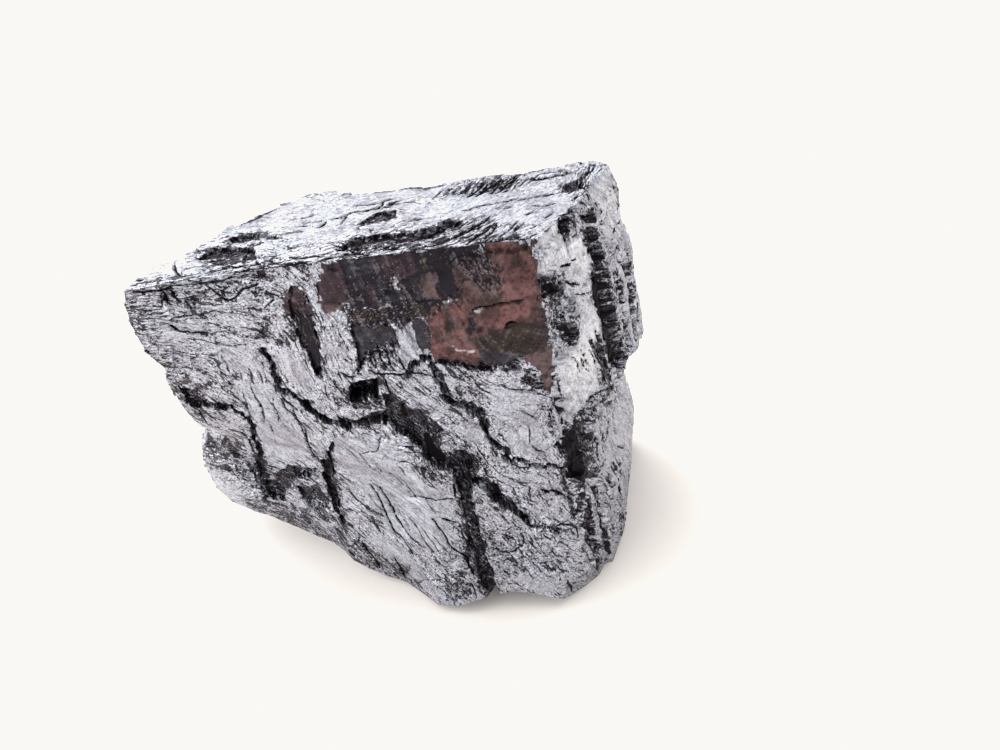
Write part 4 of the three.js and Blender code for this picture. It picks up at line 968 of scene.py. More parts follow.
def flow_map(side):
    """Grid of (along, across) numbers whose differences between neighbouring points are
    as near as possible to the flow's own; one least-squares solve for both."""
    places = places_on(side, block_points[members(side)])
    low = places.min(axis=0) - FLOW_CELL
    columns, rows = np.ceil((places.max(axis=0) + FLOW_CELL - low) / FLOW_CELL).astype(int) + 1
    number = np.arange(columns * rows).reshape(columns, rows)
    pairs = np.concatenate([
        np.stack([number[:-1].ravel(), number[1:].ravel()], -1),
        np.stack([number[:, :-1].ravel(), number[:, 1:].ravel()], -1)])
    spot = np.stack(np.divmod(np.arange(columns * rows), rows), -1) * FLOW_CELL + low
    step = spot[pairs[:, 1]] - spot[pairs[:, 0]]
    middle, hints = FLOW_HINTS[side]
    direction = flow_direction((spot[pairs[:, 0]] + spot[pairs[:, 1]]) / 2, middle, hints)
    across = np.stack([-direction[:, 1], direction[:, 0]], -1)
    wanted = np.stack([(direction * step).sum(-1), (across * step).sum(-1)], -1)
    square = np.eye(columns * rows) * 1e-6
    right_side = np.zeros((columns * rows, 2))
    for here, there, sign in ((0, 1, 1), (1, 0, -1)):
        np.add.at(square, (pairs[:, here], pairs[:, here]), 1)
        np.add.at(square, (pairs[:, here], pairs[:, there]), -1)
        np.add.at(right_side, pairs[:, there], sign * wanted)
    solved = np.linalg.solve(square, right_side)
    return low, solved.reshape(columns, rows, 2)


FLOW = {side: flow_map(side) for side in SIDES}


def flow_at(side, points):
    """(along, across) in mm at points of a side."""
    return read_map(FLOW[side], places_on(side, points), FLOW_CELL)


print("flow solved in", round(time.time() - STARTED, 1), "s")

# %% [markdown]
# ## Fine relief
# Three kinds of fine relief lie on the carved block. Scarps are the broken ends of thin
# sheets: a slow rise and a sudden drop, repeated across the flow. Crumbs are little cubes
# at three sizes, strongest in the hollows and on torn ground. Grain is a faint roughness
# everywhere. The mirror facets are kept almost free of all three. Which ground is of
# which kind follows how the block broke and no formula, so it is outlined on each side,
# in the same coordinates as the cuts.

# %% Say where the ground is crumbled
# side, place, half-widths and strength of each crumbled patch
CRUMBLED = [
    ("front", (-51, 60), (9, 6), 0.7), ("front", (-57, 51), (4, 6), 0.6),
    ("front", (-54, 20), (3, 7), 0.9), ("front", (-45, 18), (5, 5), 0.9),
    ("front", (-24, 36), (6, 6), 0.9), ("front", (-12, 12), (9, 9), 0.55),
    ("front", (-18, 22), (4, 9), 0.5), ("front", (-26, 58), (9, 5), 0.5),
    ("front", (-41, 55), (6, 4), 0.5), ("front", (-5, 24), (4, 6), 0.5),
    ("front", (-6, 44), (3, 3), 0.6), ("top", (-44, 24), (6, 4), 0.5),
    ("right", (16, 53), (5, 8), 1.0), ("right", (14, 33), (5, 6), 0.7),
    ("right", (26, 24), (8, 6), 0.5), ("back", (-40, 20), (16, 16), 0.6),
    ("back", (-8, 44), (16, 14), 0.5), ("left", (30, 40), (9, 16), 0.7),
    ("left", (30, 22), (8, 10), 0.6),
]
print("crumbled patches:", len(CRUMBLED))

# %% Outline the mirror facets
FACET_REFLECTION_AND_TARNISH = {                     # painted reflections in the mirror facets, tinted as tarnished galena
    "red": (0.165, 0.083, 0.082),
    "brown": (0.098, 0.056, 0.054),
    "rose": (0.118, 0.082, 0.085),
    "purple": (0.056, 0.038, 0.045),
    "olive": (0.042, 0.032, 0.026),
    "dark": (0.020, 0.018, 0.022),
    "slate": (0.044, 0.043, 0.054),
    # a painted highlight, a bright glint on a facet
    "bare metal": (0.520, 0.500, 0.540),
}
# side, colour and outline of each mirror facet, its colour a painted reflection, and on the
# small bright ones a painted highlight; a later one lies over an earlier one
MIRRORS = on("front", [
    ("dark", [(-30.2, 64.2), (-11.5, 64.2), (-13, 62.6), (-10.6, 60), (-12, 54), (-20, 53.8), (-20, 57),
        (-30.2, 57)]),
    ("slate", [(-29.8, 63.8), (-25.4, 63.8), (-25.4, 61.6), (-29.6, 61.2)]),
    ("slate", [(-29.4, 60.7), (-27.6, 60.7), (-27.6, 59.8), (-29.4, 59.8)]),
    ("purple", [(-25.2, 63.6), (-20.8, 63.8), (-20.8, 61), (-22, 60.6), (-25.2, 61.2)]),
    ("slate", [(-26.3, 61.6), (-25.5, 61.6), (-25.3, 57.3), (-26.4, 57.3)]),
    ("purple", [(-27.4, 60), (-26.6, 60), (-26.6, 57.3), (-27.4, 57.3)]),
    ("slate", [(-24.4, 59.4), (-22.8, 59.4), (-22.8, 57.4), (-24.4, 57.4)]),
    ("slate", [(-21.4, 60.4), (-20.4, 60.4), (-20.2, 57.2), (-21.2, 57.2)]),
    ("olive", [(-30.2, 56.8), (-20, 56.8), (-20, 54.6), (-25, 55.2), (-30.4, 54.2)]),
    ("slate", [(-24.6, 56.8), (-23.4, 56.8), (-23.2, 55.2), (-24.6, 55.2)]),
    ("brown", [(-20.3, 54), (-18.6, 56.6), (-15, 57), (-16, 61), (-14, 62), (-10.8, 61), (-11, 63.8),
        (-5.2, 63.6), (-4.4, 60), (-3.9, 56), (-4.3, 54), (-3.7, 51), (-4.1, 49.4), (-4.6, 48.2),
        (-7.2, 47.4), (-9, 46.2), (-14, 46.4), (-18, 47.2), (-20.2, 48.4)]),
    ("rose", [(-16, 61.6), (-13, 61.8), (-10, 60.8), (-9.4, 57.6), (-11, 56.2), (-14, 57.2)]),
    ("red", [(-11, 63.8), (-7.6, 63.8), (-5.2, 61.6), (-4.9, 58), (-5.8, 56.4), (-9.6, 56), (-10.2, 58),
        (-9.2, 60), (-10, 62)]),
    ("red", [(-13, 55.3), (-10, 55.6), (-5.8, 55.8), (-5.6, 53.4), (-8, 53), (-10, 52.4), (-12.8, 52.2)]),
    ("red", [(-20.1, 53.6), (-18.2, 55), (-18, 51.2), (-17, 50.6), (-16.8, 56.4), (-15, 56.4),
        (-14.8, 50.6), (-13.8, 50), (-13.8, 48.2), (-20, 48.8)]),
    ("olive", [(-18, 54.4), (-17.1, 54.4), (-16.8, 51.6), (-17.8, 51.2)]),
    ("dark", [(-14.8, 54.4), (-13.8, 54.8), (-13.2, 52.2), (-14.3, 51.7)]),
    ("olive", [(-14, 51.2), (-12, 52), (-9.8, 52.3), (-7.8, 53), (-5, 52.6), (-4.4, 49.6), (-5.4, 48.2),
        (-9, 48.2), (-13.8, 49.8)]),
    ("slate", [(-13.8, 49.4), (-9, 48.2), (-5.6, 48.4), (-7.2, 47.6), (-9.8, 46.4), (-13.6, 46.4)]),
    ("purple", [(-5.2, 55), (-4.3, 54.8), (-3.6, 51), (-4, 48.6), (-5.2, 50.4)]),
    ("rose", [(-7.4, 47.4), (-5, 48.4), (-3.2, 49.2), (-2.7, 45), (-3, 42), (-4.8, 41.4), (-5, 44.2),
        (-6.2, 45.6)]),
    ("rose", [(-20, 60.6), (-18.2, 61), (-18.1, 57.2), (-20, 57.4)]),
    ("dark", [(-18.1, 61.4), (-16.2, 60.4), (-15, 58.4), (-16, 57.4), (-18, 57.6)]),
    ("purple", [(-34.3, 58), (-33.7, 60.5), (-32.7, 63.5), (-30.1, 63.6), (-30.1, 60.4), (-30.4, 58)]),
    ("rose", [(-34.2, 57.8), (-31.2, 57.8), (-30.9, 56.8), (-33.6, 56.7)]),
    ("purple", [(-39, 57.6), (-38.4, 60.2), (-37.6, 61.2), (-36.4, 60.4), (-35.8, 58), (-35.7, 56.2),
        (-37, 56.3), (-38, 57)]),
    ("dark", [(-37.6, 55.8), (-35.6, 55.8), (-35.5, 50), (-36, 46), (-36.5, 45.4), (-37.1, 47.6),
        (-37.4, 50)]),
    ("slate", [(-30.8, 54), (-25.2, 54), (-25.1, 51), (-26, 51.6), (-27.2, 50.4), (-28, 51), (-28.6, 50),
        (-31.4, 47), (-30.6, 50.4), (-30.4, 52)]),
    ("slate", [(-22.5, 54.6), (-20.4, 54.4), (-20.1, 50), (-21.2, 49.4), (-21.8, 51)]),
    ("bare metal", [(-17.6, 49.9), (-14.5, 49.6), (-14.5, 49.1), (-16.4, 49.1)]),
    ("bare metal", [(-13.8, 55.1), (-12.1, 55.6), (-11.9, 55.1), (-13.6, 54.8)]),
    ("bare metal", [(-33.6, 56.7), (-31.2, 56.9), (-31.2, 56.5), (-33.4, 56.3)]),
    ("bare metal", [(-31.2, 55.9), (-30.3, 56.2), (-30.2, 55.7), (-31, 55.4)]),
    ("bare metal", [(-23.9, 61), (-23.3, 61.2), (-23.2, 59.4), (-23.6, 59.4)]),
    ("bare metal", [(-26.3, 57.25), (-24.9, 57.25), (-24.9, 56.9), (-26.3, 56.9)]),
    ("bare metal", [(-17.6, 56.8), (-15.6, 56.9), (-15.6, 56.5), (-17.4, 56.5)]),
])
print("facets:", len(MIRRORS))

# %% Outline the dark ground of dust and painted shade
# side, share covered and outline of ground that is painted dark: dust, crumbs and stain,
# and painted shade in the hollows and grooves and where the surface turns away from the
# light; on the facets, how broken they are
DUST_AND_SHADE_GROUND = on("front", [
    # the first four: painted shade on the left lobe, the left edge, the upper left and the lower left,
    # where the surface turns away from the light
    (0.3, [(-61.6, 28), (-57, 32), (-53, 30), (-52.6, 12), (-56, 11), (-62, 16)]),
    (0.4, [(-60, 64), (-55.6, 60), (-57, 50), (-54, 40), (-58, 33), (-60.6, 46)]),
    (0.42, [(-58, 64), (-38, 64), (-39, 60), (-48, 59), (-56, 60.6)]),
    (0.5, [(-58, 12), (-44, 14), (-38, 11), (-30, 6), (-28, 0), (-60, 2)]),
    (0.6, [(-54.8, 14), (-52.4, 15.2), (-48, 11.6), (-46.6, 8), (-48, 6), (-54, 10)]),
    (0.5, [(-30, 64.2), (-20.6, 64.2), (-20.4, 57), (-30.2, 57)]),
    (0.9, [(-30.2, 57), (-20.4, 57), (-20.4, 54.6), (-25, 54), (-31, 54.2), (-31.4, 56)]),
    (0.9, [(-24.6, 62), (-22.8, 62), (-22, 57.6), (-23.6, 57.2), (-24.4, 59)]),
    (0.4, [(-39.4, 61.4), (-35.4, 61), (-35.4, 46), (-37.4, 46)]),
    (0.15, [(-34.4, 58), (-33.8, 61.6), (-30, 64), (-30, 57.6)]),
    (0.6, [(-20.8, 64), (-11, 64), (-13, 62), (-16, 61.4), (-20.8, 61.4)]),
    (1.0, [(-16, 61.8), (-12.6, 64), (-10.4, 62), (-9, 60.4), (-9.8, 57), (-12, 57.4)]),
    (0.6, [(-20.6, 57.4), (-14, 57.4), (-13, 55.8), (-18.6, 55.8), (-20.6, 54.4)]),
    (0.25, [(-20.4, 55), (-13, 55), (-13, 47), (-20.4, 48)]),
    (0.3, [(-31, 54), (-25, 54), (-25, 50), (-31.4, 47)]),
    (0.4, [(-14, 51.4), (-5, 52.6), (-4.4, 48), (-9.6, 46.4), (-13.8, 46.2)]),
    (0.9, [(-31.6, 57), (-30, 57.4), (-30, 54.2), (-31.4, 54.2)]),
    (0.8, [(-44.8, 54.8), (-43, 54.6), (-42.6, 57), (-41, 57.2), (-40.4, 56), (-41.4, 54.8), (-42.4, 53.6),
        (-44.8, 53)]),
    (0.35, [(-42.4, 54.2), (-38.2, 54.2), (-38.4, 51.8), (-40, 51), (-42.2, 51.6)]),
    (0.6, [(-36, 63.6), (-34, 63.6), (-34.6, 61.6), (-36, 61.4)]),
    (0.45, [(-35.4, 56), (-31.8, 56), (-31.4, 52), (-33, 51.6), (-35.2, 53)]),
    (0.45, [(-30.4, 50.2), (-25.6, 50.2), (-25, 47.6), (-27, 46.6), (-29.4, 47.2)]),
    (0.6, [(-59.7, 52.2), (-57, 51.8), (-56.8, 49), (-58, 48), (-59.6, 49)]),
    (0.5, [(-59, 46), (-54.8, 47), (-53.8, 44), (-55.4, 42), (-52, 40.8), (-51, 38.6), (-54.4, 36),
        (-57, 37), (-58.6, 40)]),
    (0.85, [(-57.4, 43.6), (-56.4, 43.6), (-55.8, 40.4), (-52, 40.2), (-52, 39.4), (-56.4, 39.2),
        (-57.7, 40)]),
    (0.75, [(-52.4, 45.7), (-51.5, 44.8), (-50.8, 43.2), (-51.6, 43.4), (-52.3, 44.6)]),
    (0.55, [(-60.6, 30), (-56, 32), (-53, 29), (-52.4, 25), (-54.4, 26.6), (-57, 25.4), (-59.4, 25),
        (-61.8, 22.6)]),
    (0.65, [(-58, 29.4), (-55.6, 30), (-53.4, 27.6), (-52.8, 25.4), (-54.4, 27), (-56.4, 26)]),
    (0.75, [(-52.5, 26), (-50.4, 29), (-50.2, 22), (-48, 21.6), (-47.6, 22.6), (-46, 24.2), (-46.4, 21.6),
        (-48.6, 20.6), (-49.6, 16.6), (-52.4, 16.4), (-55, 13.6), (-53.4, 12), (-52, 15), (-52.4, 20)]),
    (0.7, [(-52.6, 25), (-51.2, 25.4), (-50.4, 21), (-50.2, 16.4), (-52.4, 16)]),
    (0.6, [(-49.8, 20.6), (-47, 21.2), (-43, 20.2), (-43.4, 18.8), (-46, 19.2), (-48.8, 18.4)]),
    (0.5, [(-47.4, 17.2), (-44.6, 17.6), (-42, 15.6), (-41.4, 13.4), (-44, 13.6), (-46.4, 15)]),
    (0.65, [(-45, 19.4), (-43, 19.6), (-42.8, 16.6), (-44.2, 15.2), (-45.4, 16.6)]),
    (0.6, [(-45.6, 16), (-39, 16), (-39, 11), (-44, 11.6)]),
    (0.6, [(-48.9, 11.8), (-46.6, 13.2), (-45, 13), (-46.4, 10), (-46.8, 7), (-48.6, 8.6)]),
    (0.5, [(-58.6, 11.4), (-55, 12.4), (-51.4, 11), (-50, 8), (-54, 9), (-57.6, 10)]),
    (0.8, [(-34, 42.8), (-31, 41.2), (-28, 42.6), (-28.6, 41), (-31, 39.9), (-34.6, 41)]),
    (1.0, [(-33.6, 42.7), (-28.6, 42.9), (-28.3, 42.1), (-31.4, 41), (-33.4, 41)]),
    (0.95, [(-28.2, 43), (-26.6, 43), (-24.8, 41.8), (-24, 40.7), (-22.2, 40.5), (-21.6, 38.6), (-20.6, 37),
        (-20, 36), (-20.8, 35.6), (-21.4, 34.4), (-20.8, 33), (-19.6, 32.3), (-17.6, 32.8), (-16, 31.4),
        (-15.6, 29.6), (-14.4, 28.8), (-13.8, 27), (-13.4, 25), (-12.4, 23.4), (-11.6, 21), (-12.8, 20),
        (-14.4, 22), (-15, 24.4), (-16.6, 25.2), (-18.4, 24.8), (-18.8, 26), (-19, 28.2), (-19.6, 29.2),
        (-20.6, 29.5), (-22, 29.8), (-22.2, 30.8), (-23.2, 30.8), (-23.4, 33.4), (-24.4, 34.6), (-25.4, 36),
        (-27.4, 36.5), (-27.4, 37.8), (-28.4, 40)]),
    (0.6, [(-25.6, 38.8), (-22, 39), (-20.8, 36.6), (-22.4, 35.4), (-25, 36.4)]),
    (0.45, [(-17, 32), (-12.8, 32), (-12, 30.4), (-15.8, 28.8)]),
    (0.45, [(-24, 31), (-20, 29.6), (-20.6, 26), (-23.4, 26.6), (-26.6, 29.6)]),
    (0.35, [(-16.6, 19), (-9.8, 18.6), (-7, 21.8), (-5, 24), (-9, 25.4), (-13, 24)]),
    (0.35, [(-15.6, 15.6), (-10.4, 16), (-9.6, 11), (-11.6, 9.6), (-15, 11)]),
    (0.3, [(-9.6, 15.4), (-5.4, 15), (-4.4, 9), (-4.8, 4), (-9.4, 4), (-12, 8)]),
    (0.85, [(-8, 16.8), (-5, 16.9), (-4.6, 15.9), (-6.2, 15.5), (-7.8, 15.9)]),
    (0.4, [(-19, 45), (-13.4, 45), (-13, 38), (-15, 38), (-18.4, 41.6)]),
    (0.9, [(-8.2, 45.2), (-6.8, 45.5), (-5.8, 44), (-4.9, 42.8), (-4.9, 41.4), (-6.4, 42.2), (-7.8, 43.6)]),
    (0.55, [(-5, 44.6), (-3, 45), (-2.6, 40), (-4.9, 41.4)]),
    (0.8, [(-4.6, 37), (-2.6, 38), (-2, 33), (-1.4, 28), (-0.6, 21), (-0.2, 14.6), (-1.6, 17.6),
        (-2.4, 21.6), (-2.8, 27), (-3, 33)]),
    (0.8, [(-19.4, 20), (-18.4, 20), (-17, 12), (-16, 4), (-15.8, 0), (-17.6, 0), (-18.4, 5), (-19.4, 9),
        (-20, 12), (-19.4, 15)]),
    (0.4, [(-24, 8), (-20, 9), (-18.4, 0), (-23.6, 0)]),
    (0.7, [(-40.8, 27.4), (-38.2, 31), (-37.8, 29), (-38.4, 25), (-39, 20), (-38.4, 12.4), (-40.4, 12.6),
        (-41.4, 17)]),
    (0.35, [(-38.6, 12), (-36, 12.4), (-34, 8), (-34, 3.8), (-36.4, 5), (-38.4, 9)]),
    (0.3, [(-34, 45), (-28.6, 44), (-24, 45.4), (-20.4, 44.8), (-20, 41), (-26, 42.6), (-33.6, 40.6),
        (-37, 39.4)]),
]) + on("top", [
    # on the top, the dark over the recesses is painted shade
    (0.85, [(-49, 22.6), (-47.6, 24.5), (-42, 24.1), (-41.4, 22.4), (-43, 21.2), (-46, 21.5), (-48, 21.8)]),
    (0.85, [(-46, 26.3), (-45.2, 27.5), (-41, 27.3), (-38.8, 25.6), (-39, 24.8), (-41, 25.4), (-45, 25.7)]),
    (0.65, [(-31, 21.6), (-30, 22.8), (-27, 23.2), (-22, 22.8), (-20, 22.9), (-17, 23.5), (-16, 22.9),
        (-18, 21), (-21, 20), (-26, 19.9), (-29.6, 20.4)]),
    (0.45, [(-20, 22), (-13, 24.8), (-9, 24.8), (-8.6, 22), (-12, 19.4), (-20, 19.4)]),
    (0.75, [(-28.6, 26.5), (-25, 27.2), (-22.4, 28.8), (-22, 27.4), (-25, 26.4)]),
    (0.75, [(-24.8, 30), (-23.4, 31.4), (-21.8, 31.6), (-22.8, 30)]),
    (0.9, [(0.5, 28.2), (1, 29.7), (4.4, 30.5), (4.4, 29), (2.4, 28.5), (1.4, 27.7)]),
    (0.8, [(-3, 32.8), (1.6, 33), (3.4, 33.7), (1.6, 32.5), (-3, 32.2)]),
    (0.7, [(-11.6, 30.4), (-9, 34.2), (-6.4, 34.8), (-8.4, 31.6)]),
    (0.5, [(-17, 30.8), (-13.6, 34.6), (-3, 35), (-6, 30.4), (-12, 30)]),
    (0.45, [(-58, 19.8), (-50, 20), (-40, 20.8), (-26, 20.2), (-20, 20), (-4, 19.6), (-4, 18.6),
        (-58, 18.4)]),
]) + on("right", [
    # on the right, the dark of the recesses and grooves is painted shade
    (0.9, [(21.2, 59.2), (24.8, 63.6), (22.2, 63.6), (20.8, 60.8)]),
    (0.9, [(25, 62.6), (27.4, 61), (28, 56), (26.2, 51), (25.4, 46), (25.4, 41), (26.2, 35), (25.6, 30.6),
        (21, 31.2), (20.4, 38), (20.8, 46), (21.6, 51.6), (23.6, 54.6), (24, 58.6)]),
    (0.8, [(16, 58.6), (19, 57.4), (18.4, 54.4), (16, 51.6), (17.6, 47), (15.6, 45.4), (14.4, 49.4),
        (15.2, 55)]),
    (0.85, [(9.2, 31.8), (12.8, 34), (16, 34.6), (13.8, 31.8), (11.4, 27), (10.4, 20.6), (7.6, 20.4),
        (7.4, 25)]),
    (0.8, [(18, 38), (20, 44), (20.2, 36), (19.6, 30.6), (17.6, 30.8)]),
])
print("dark outlines:", len(DUST_AND_SHADE_GROUND))

# %% Outline the clean ground and its painted highlights
# side, how clean and outline of ground that is bright and clean; over 1 it also takes a
# painted highlight, strongest on the plates of the right end
CLEAN_AND_HIGHLIGHT_GROUND = on("front", [
    (0.9, [(-49.4, 44), (-44.4, 45), (-43.6, 40), (-42.2, 36), (-42.4, 28), (-45, 25.6), (-50, 25.4),
        (-49, 32), (-49, 38)]),
    (0.7, [(-24.4, 46), (-20.2, 45.6), (-20, 42), (-18.8, 38), (-20.4, 37.8), (-21.8, 40.6), (-24, 41.2)]),
    (0.8, [(-18, 36.4), (-15, 36.8), (-14.4, 34.4), (-16, 32.6), (-17, 33)]),
    (0.75, [(-12.6, 42), (-8, 43.6), (-5.6, 41), (-5.6, 31), (-9.6, 30.8), (-11, 33), (-12.4, 37)]),
    (0.8, [(-61, 19.4), (-58, 20), (-56, 18), (-56.4, 13), (-59, 12), (-62, 13)]),
    (0.8, [(-34.4, 61), (-31.8, 56), (-31.6, 50), (-34.6, 50)]),
    (0.7, [(-54, 60.4), (-44, 58.6), (-44.6, 56), (-50, 55.6), (-55, 57.6)]),
    (0.6, [(-50, 53), (-44.6, 52.6), (-44.4, 46.6), (-48.6, 46), (-50, 48)]),
    (0.7, [(-42, 50), (-38, 50), (-37.6, 44), (-40, 43), (-42, 46)]),
    (0.7, [(-8, 27.6), (-3.4, 26.6), (-3, 20), (-6, 17.6), (-9, 20), (-9.4, 24)]),
    (0.8, [(-9, 8.6), (-6, 8.6), (-4.6, 4), (-5, 1), (-10, 1), (-12, 4)]),
    (0.7, [(-37, 12.6), (-30, 12), (-26, 4), (-30, 2), (-36, 6)]),
    (0.9, [(-38, 34), (-28, 36), (-24, 29), (-20, 24), (-22, 14), (-30, 14), (-36, 24)]),
    (0.8, [(-10.4, 33), (-6, 36), (-4, 30.4), (-8, 30)]),
    (1.0, [(-24.7, 53), (-22.5, 54.2), (-22, 49), (-23.6, 48.6), (-24.5, 48.4)]),
    (0.8, [(-58, 58), (-54, 60), (-50, 58), (-52, 54), (-57, 54)]),
]) + on("top", [
    (0.6, [(-60, 20), (-50, 20), (-30, 24), (-16, 24.6), (0, 20), (6, 40), (-40, 40), (-60, 26)]),
    (0.5, [(-20, 25.6), (-8, 25), (-2, 28), (-6, 29.6), (-18, 29.6)]),
    (0.5, [(-37, 24), (-32, 24), (-32, 21.6), (-36, 21.6)]),
]) + on("right", [
    (1.7, [(17.2, 59), (18.4, 64), (22, 64), (22.2, 60), (24, 59), (23, 54.6), (21, 50), (20.6, 44),
        (19, 42), (18.6, 36), (12, 34), (11, 35), (13.6, 46), (17.6, 46), (18.4, 52), (19, 56)]),
    (1.3, [(28, 64), (33.6, 64), (33.6, 52), (28.6, 53)]),
    (0.9, [(26.6, 50), (33.6, 52), (33.6, 31), (27, 31)]),
    (0.8, [(12.4, 30), (16.8, 31), (19, 30), (20, 22), (33, 20), (33, 10), (14, 8), (10, 12), (11, 20)]),
    (2.2, [(15.6, 53.6), (17.2, 54), (17.6, 52.6), (16, 52.2)]),
    (2.2, [(16.8, 50.6), (18.4, 51.2), (18.2, 49.8)]),
])
print("clean plates:", len(CLEAN_AND_HIGHLIGHT_GROUND))

# %% Say where the texture is flecks
# For each side: how much of its texture is flecks, the rest being strokes along the flow
FLECKED = {"front": 0.35, "top": 0.08, "right": 0.2, "back": 0.15, "left": 0.15, "foot": 0.3}
# For each side: how much painted shade darkens its hollows; little on the back, the left
# and the foot, since on fresh cleavage steps the floors are bright
HOLLOW_SHADE_SHARE = {"front": 0.9, "top": 0.9, "right": 0.9, "back": 0.1, "left": 0.1, "foot": 0.1}
BRIGHT_FLOOR = 0.9              # how clean the floors of those bright hollows are
# side, place, half-widths and what is added to the share of flecks
FLECKED_PATCHES = [
    ("front", (-14, 37), (9, 8), 0.6), ("front", (-11, 12), (8, 9), 0.5),
    ("front", (-26, 58), (9, 6), 0.5), ("front", (-30, 24), (9, 9), -0.2),
    ("front", (-52, 40), (7, 9), -0.2), ("front", (-40, 58), (5, 4), 0.4),
    ("right", (16, 52), (4, 6), 0.5),
]
print("patches of flecks:", len(FLECKED_PATCHES))


# %% Measure what kind of ground a point is on
def bell(places, middle, halves):
    """e to the minus distance squared, from 1 in the middle of a patch, with the distance
    counted in its half-widths."""
    return np.exp(-(((places - middle) / halves) ** 2).sum(axis=1))


def patch_strength(side, points):
    """How crumbled a side is at its points: the strongest of the patches there, each
    falling off as a bell."""
    places = places_on(side, points)
    strength = np.zeros(len(points))
    for patch_side, middle, halves, height in CRUMBLED:
        if patch_side == side:
            strength = np.maximum(strength, height * bell(places, middle, halves))
    return strength


FAR_OUT = -9.0                  # the distance where there is no outline at all
STEP_DEPTH = 4.0                # a recess this deep is a step of the block, not a hollow


def hollow_distance(side, points):
    """Signed distance in mm into the nearest recess, groove or lip of a side."""
    crisp = places_on(side, points)
    places = stair_step(crisp, CUT_SEED)
    best = np.full(len(points), FAR_OUT)
    for recess_side, depth, outline in RECESSES:
        if recess_side == side and depth < STEP_DEPTH:
            spots = crisp if depth == PIT_DEPTH else places
            best = np.maximum(best, inside_distance(spots, outline))
    for groove_side, depth, start_width, end_width, path in GROOVES:
        if groove_side == side:
            best = np.maximum(best, groove_distance(places, path, start_width, end_width))
    return best


def mirror_distance(side, points):
    """Signed distance in mm into the mirror facets as one area, and the colour of the
    last facet that each point is in or nearest to."""
    places = stair_step(places_on(side, points), GROUND_SEED)
    best = np.full(len(points), FAR_OUT)
    colour = np.zeros((len(points), 4))
    for mirror_side, reflection_and_tarnish, outline in MIRRORS:
        if mirror_side == side:
            distance = inside_distance(places, outline)
            over = (distance > 0) | (distance > best)
            colour[over] = (*FACET_REFLECTION_AND_TARNISH[reflection_and_tarnish], 1.0)
            best = np.maximum(best, distance)
    return best, colour


# %% Measure how dark the ground is, with dust and with painted shade
CLEAN_DROP = 0.5                # how far below nothing the dark share goes on clean ground
CRUMBLED_SHARE = 0.35           # how dark the crumbled patches are
ISLAND_LIFT = 0.85              # how much of the dark an island takes away
DARK_EDGE = (-0.7, 0.7)         # distances in mm over which each kind of ground begins
HOLLOW_EDGE = (-0.25, 0.15)
PLATE_EDGE = (-0.8, 0.6)
ISLAND_EDGE = (-0.3, 0.3)

# side and outline of light ground left standing in the hollows
ISLANDS = [
    ("front", [(-21.2, 34.6), (-20, 35.4), (-19.2, 34), (-19.6, 32.6), (-20.6, 33)]),
    ("front", [(-16.4, 28.2), (-15.2, 28), (-14.6, 26), (-15, 25.4), (-16.2, 26.4)]),
    ("front", [(-23.9, 39.9), (-22.2, 40), (-22, 39.2), (-23.2, 39.4)]),
    ("front", [(-48.2, 18.6), (-46.6, 19.4), (-46.4, 17), (-47.8, 16.6)]),
    ("front", [(-51.6, 20.4), (-50.4, 21), (-50, 18.4), (-51.4, 18)]),
    ("front", [(-36.6, 38.3), (-34, 38), (-34.2, 37.5), (-36.4, 37.7)]),
    ("right", [(22.2, 45), (22.8, 46), (23, 39), (22.4, 37)]),
    ("right", [(24.4, 54), (25.2, 56), (25.4, 52), (24.8, 50)]),
]


def dust_and_shade_share(side, points, mirror):
    """Share of the ground that is dark, with dust and crumbs and with painted shade: the
    greatest of the dark outlines with soft edges, of the hollows, whose dark is painted
    shade, and of the crumbled patches. Hollows and patches count only outside the mirror
    facets, where mirror is below zero. Light islands and clean plates bring the share down,
    on clean plates to below zero, where the most polished take a painted highlight."""
    places = stair_step(places_on(side, points), GROUND_SEED)
    rough_ground = mirror < 0
    share = CRUMBLED_SHARE * patch_strength(side, points) * rough_ground
    for dark_side, strength, outline in DUST_AND_SHADE_GROUND:
        if dark_side == side:
            distance = inside_distance(places, outline)
            share = np.maximum(share, strength * soft_ramp(distance, *DARK_EDGE))
    # painted shade: the floors of the recesses and grooves are darkened
    sunken = soft_ramp(hollow_distance(side, points), *HOLLOW_EDGE)
    hollow = HOLLOW_SHADE_SHARE[side] * sunken * rough_ground
    clean = sunken * BRIGHT_FLOOR * (HOLLOW_SHADE_SHARE[side] < 0.5)
    for clean_side, strength, outline in CLEAN_AND_HIGHLIGHT_GROUND:
        if clean_side == side:
            inside = soft_ramp(inside_distance(places, outline), *PLATE_EDGE)
            clean = np.maximum(clean, strength * inside)
    share = np.maximum(share, hollow)
    for light_side, outline in ISLANDS:
        if light_side == side:
            share *= 1 - ISLAND_LIFT * soft_ramp(inside_distance(places, outline), *ISLAND_EDGE)
    return share - CLEAN_DROP * clean * (share < 0.5)


